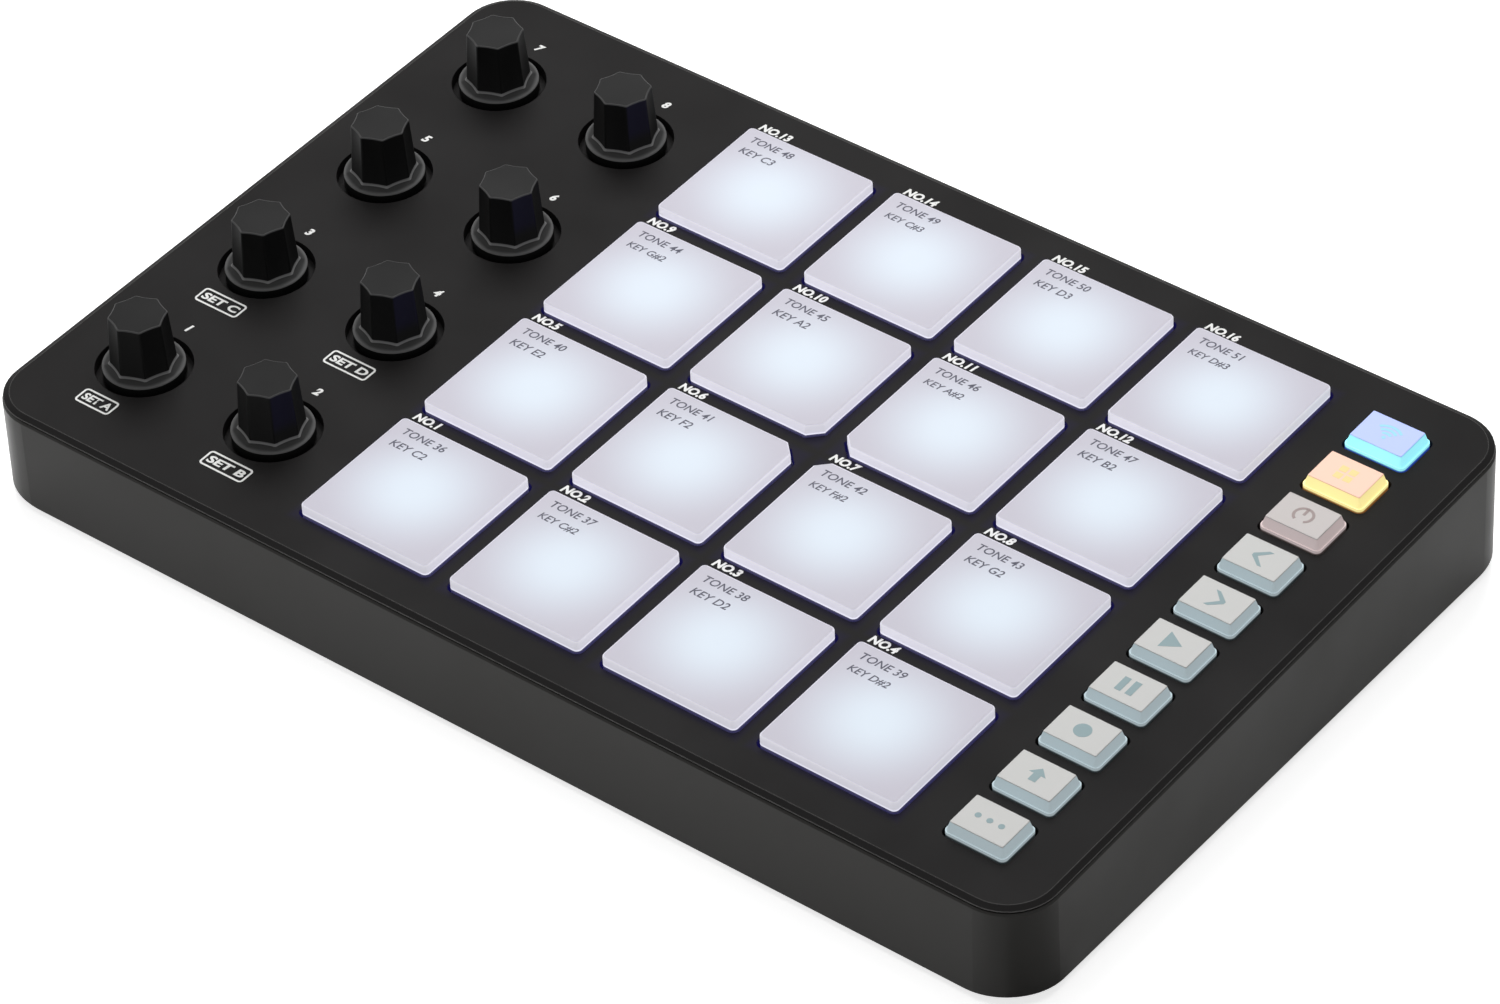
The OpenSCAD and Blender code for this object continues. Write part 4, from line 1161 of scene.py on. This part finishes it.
films = []
for name, post in zip(knob_names, knob_posts):
    centre = FROM_PLATE @ post
    centre.z = 0
    number, wide = lettered(name[-1], PLATE_PRINT, weight=NUMBER_WEIGHT)
    corner = centre + KNOB_NUMBER_AT - Vector((wide, PLATE_PRINT, 0)) / 2
    films.append((number, Matrix.Translation(corner)))
    if name in FRAME_SIZES:
        frame_wide, frame_deep = FRAME_SIZES[name]
        outer = rounded_box(frame_wide, frame_deep, FRAME_CORNER)
        inner = rounded_box(frame_wide - 2 * FRAME_LINE, frame_deep - 2 * FRAME_LINE,
                            FRAME_CORNER - FRAME_LINE)
        border = inked(outer, [inner])
        films.append((border, Matrix.Translation(centre + FRAME_AT)))
        letter = "ABCD"[int(name[-1]) - 1]
        words, wide = lettered("SET " + letter, FRAME_TEXT, FRAME_TEXT_SLANT, FRAME_TEXT_WEIGHT)
        squeeze = (frame_wide - FRAME_TEXT_MARGIN) / wide
        corner = centre + FRAME_AT - Vector((wide * squeeze, FRAME_TEXT, 0)) / 2
        films.append((words, Matrix.Translation(corner) @ Matrix.Diagonal((squeeze, 1, 1, 1))))
for number, (low, high) in enumerate(pad_boxes.values(), 1):
    label, wide = lettered(f"NO.{number}", PLATE_PRINT, weight=NUMBER_WEIGHT)
    corner = (low.x - PAD_NUMBER_LEFT, high.y + PAD_NUMBER_BEHIND, 0)
    films.append((label, Matrix.Translation(corner)))
printed("plate_print", "case", white_ink, films)
print("printed", len(films), "signs on the plate")

# %% Grey print on the pads
grey_ink = grained("grey_ink", screen(90, 90, 105), rough=0.6, grain=0.2 * MM, relief=0.004 * MM,
                   drift=0.03, gloss=0.3)
PAD_PRINT = 1.75 * MM
PAD_PRINT_IN = 2.6 * MM
PAD_PRINT_WEIGHT = 0.008
PAD_LINES = (3.1 * MM, 6.7 * MM)
NOTES = ("C", "C#", "D", "D#", "E", "F", "F#", "G", "G#", "A", "A#", "B")
FIRST_NOTE = 36

for note, (name, (low, high)) in enumerate(pad_boxes.items(), FIRST_NOTE):
    octave, step = divmod(note, len(NOTES))
    films = []
    for words, drop in zip((f"TONE {note}", f"KEY {NOTES[step]}{octave - 1}"), PAD_LINES):
        line, wide = lettered(words, PAD_PRINT, weight=PAD_PRINT_WEIGHT)
        corner = (low.x + PAD_PRINT_IN, high.y - drop - PAD_PRINT / 2, PAD_RISE)
        films.append((line, Matrix.Translation(corner)))
    printed(name + "_print", name, grey_ink, films)
print("printed two lines on each of", len(pad_boxes), "pads")

# %% [markdown]
# The signs on the buttons are drawn from plain shapes: arcs, squares, a dial, arrows, the usual marks for
# play, pause and record, an upward arrow and a row of dots. Their outlines are given in millimetres round
# the middle of a button's top.

# %% Shapes of the signs
STROKE = 0.55
DOT_POINTS = 24
WAVES_AT = (0, -1.3)
CHEVRON = [(1.5, 2.1), (0.6, 2.1), (-1.6, 0.3), (-1.6, -0.3), (0.6, -2.1), (1.5, -2.1), (-0.6, 0.0)]
ARROW = [(0, 1.9), (-1.7, 0.2), (-0.75, 0.2), (-0.75, -1.6), (0.75, -1.6), (0.75, 0.2), (1.7, 0.2)]


def block(wide, deep, x=0.0, y=0.0):
    """Outline of an upright rectangle round a point."""
    return [(x + sx * wide / 2, y + sy * deep / 2) for sx, sy in ((1, 1), (-1, 1), (-1, -1), (1, -1))]


def bent_bar(radius, start, end, middle=(0.0, 0.0)):
    """Outline of a stroke along a circle."""
    outer = arc(radius + STROKE / 2, start, end, middle=middle)
    return outer + arc(radius - STROKE / 2, end, start, middle=middle)


def dot(across, x=0.0, y=0.0):
    """Outline of a dot round a point."""
    return arc(across / 2, 0, 360 - 360 / DOT_POINTS, DOT_POINTS - 1, (x, y))


sign_shapes = {
    "button_01": [dot(0.8, *WAVES_AT)] + [bent_bar(r, 45, 135, WAVES_AT) for r in (1.2, 2.2, 3.2)],
    "button_02": [block(1.5, 1.5, x, y) for x in (-1.0, 1.0) for y in (-1.0, 1.0)],
    "button_03": [bent_bar(1.8, -60, 240), block(STROKE, 1.7, 0, 0.9)],
    "button_04": [CHEVRON],
    "button_05": [[(-x, -y) for x, y in CHEVRON]],
    "button_06": [[(1.9, 0), (-1.7, 2.2), (-1.7, -2.2)]],
    "button_07": [block(1.3, 3.6, x) for x in (-1.1, 1.1)],
    "button_08": [dot(3.3)],
    "button_09": [ARROW],
    "button_10": [dot(1.2, x) for x in (-2.4, 0.0, 2.4)],
}
print("signs for", len(sign_shapes), "buttons from", sum(map(len, sign_shapes.values())), "outlines")

# %% Signs on the buttons
# On the grey buttons the signs' glow is painted light as well
sign_grey = button_finish("sign_grey", (140, 162, 166), (50, 56, 58), (50, 56, 58))
sign_warm = button_finish("sign_warm", (165, 150, 148), (40, 34, 32), (40, 34, 32))
sign_amber = button_finish("sign_amber", (240, 205, 150), (170, 128, 70), (170, 128, 70))
sign_blue = button_finish("sign_blue", (160, 205, 230), (70, 130, 195), (70, 130, 195))
sign_looks = {"button_01": sign_blue, "button_02": sign_amber, "button_03": sign_warm}
for name, shapes in sign_shapes.items():
    place = Matrix.Translation(button_tops[name])
    films = [(inked([(x * MM, y * MM) for x, y in shape]), place) for shape in shapes]
    printed(name + "_sign", name, sign_looks.get(name, sign_grey), films)
print("signs on", len(sign_shapes), "buttons")

# %% [markdown]
# ## Inner parts and metal
#
# The board, film, mats, lights, cell, switches and encoders are closed in and hardly show, but they are
# part of the product, so each gets the finish of its own stuff: green solder resist, amber film, milky
# silicone, foil and plated steel.

# %% Finish what the case holds
steel = grained("plated_steel", screen(196, 197, 199), rough=0.32, grain=0.15 * MM, relief=0.004 * MM,
                metal=1.0)
resist = grained("solder_resist", screen(22, 84, 48), rough=0.35, grain=0.6 * MM, relief=0.01 * MM,
                 drift=0.12)
amber_film = grained("sensing_film", screen(150, 110, 50), rough=0.4, grain=0.5 * MM, relief=0.004 * MM)
web = grained("milky_web", screen(205, 205, 210), rough=0.5, grain=0.2 * MM, relief=0.006 * MM, drift=0.03)
lens = grained("light_lens", screen(236, 236, 226), rough=0.25, grain=0.2 * MM, relief=0.002 * MM, drift=0.02)
foil = grained("cell_foil", screen(198, 201, 206), rough=0.34, grain=1.2 * MM, relief=0.02 * MM, metal=0.9)
inside = {"main_pcb": resist, "encoder_bodies": steel, "pad_sensor_sheet": amber_film, "pad_mat": web,
          "pad_leds": lens, "keypad_mat": web, "button_switches": steel, "battery": foil, "usb_socket": steel,
          "power_switch": steel, "power_slider": knob_skin, "pcb_screws": steel}
inside.update({f"encoder_shaft_{i}": steel for i in range(1, 9)})
for name, finish in inside.items():
    dress(name, finish)
print("finished", len(inside), "inner nodes")
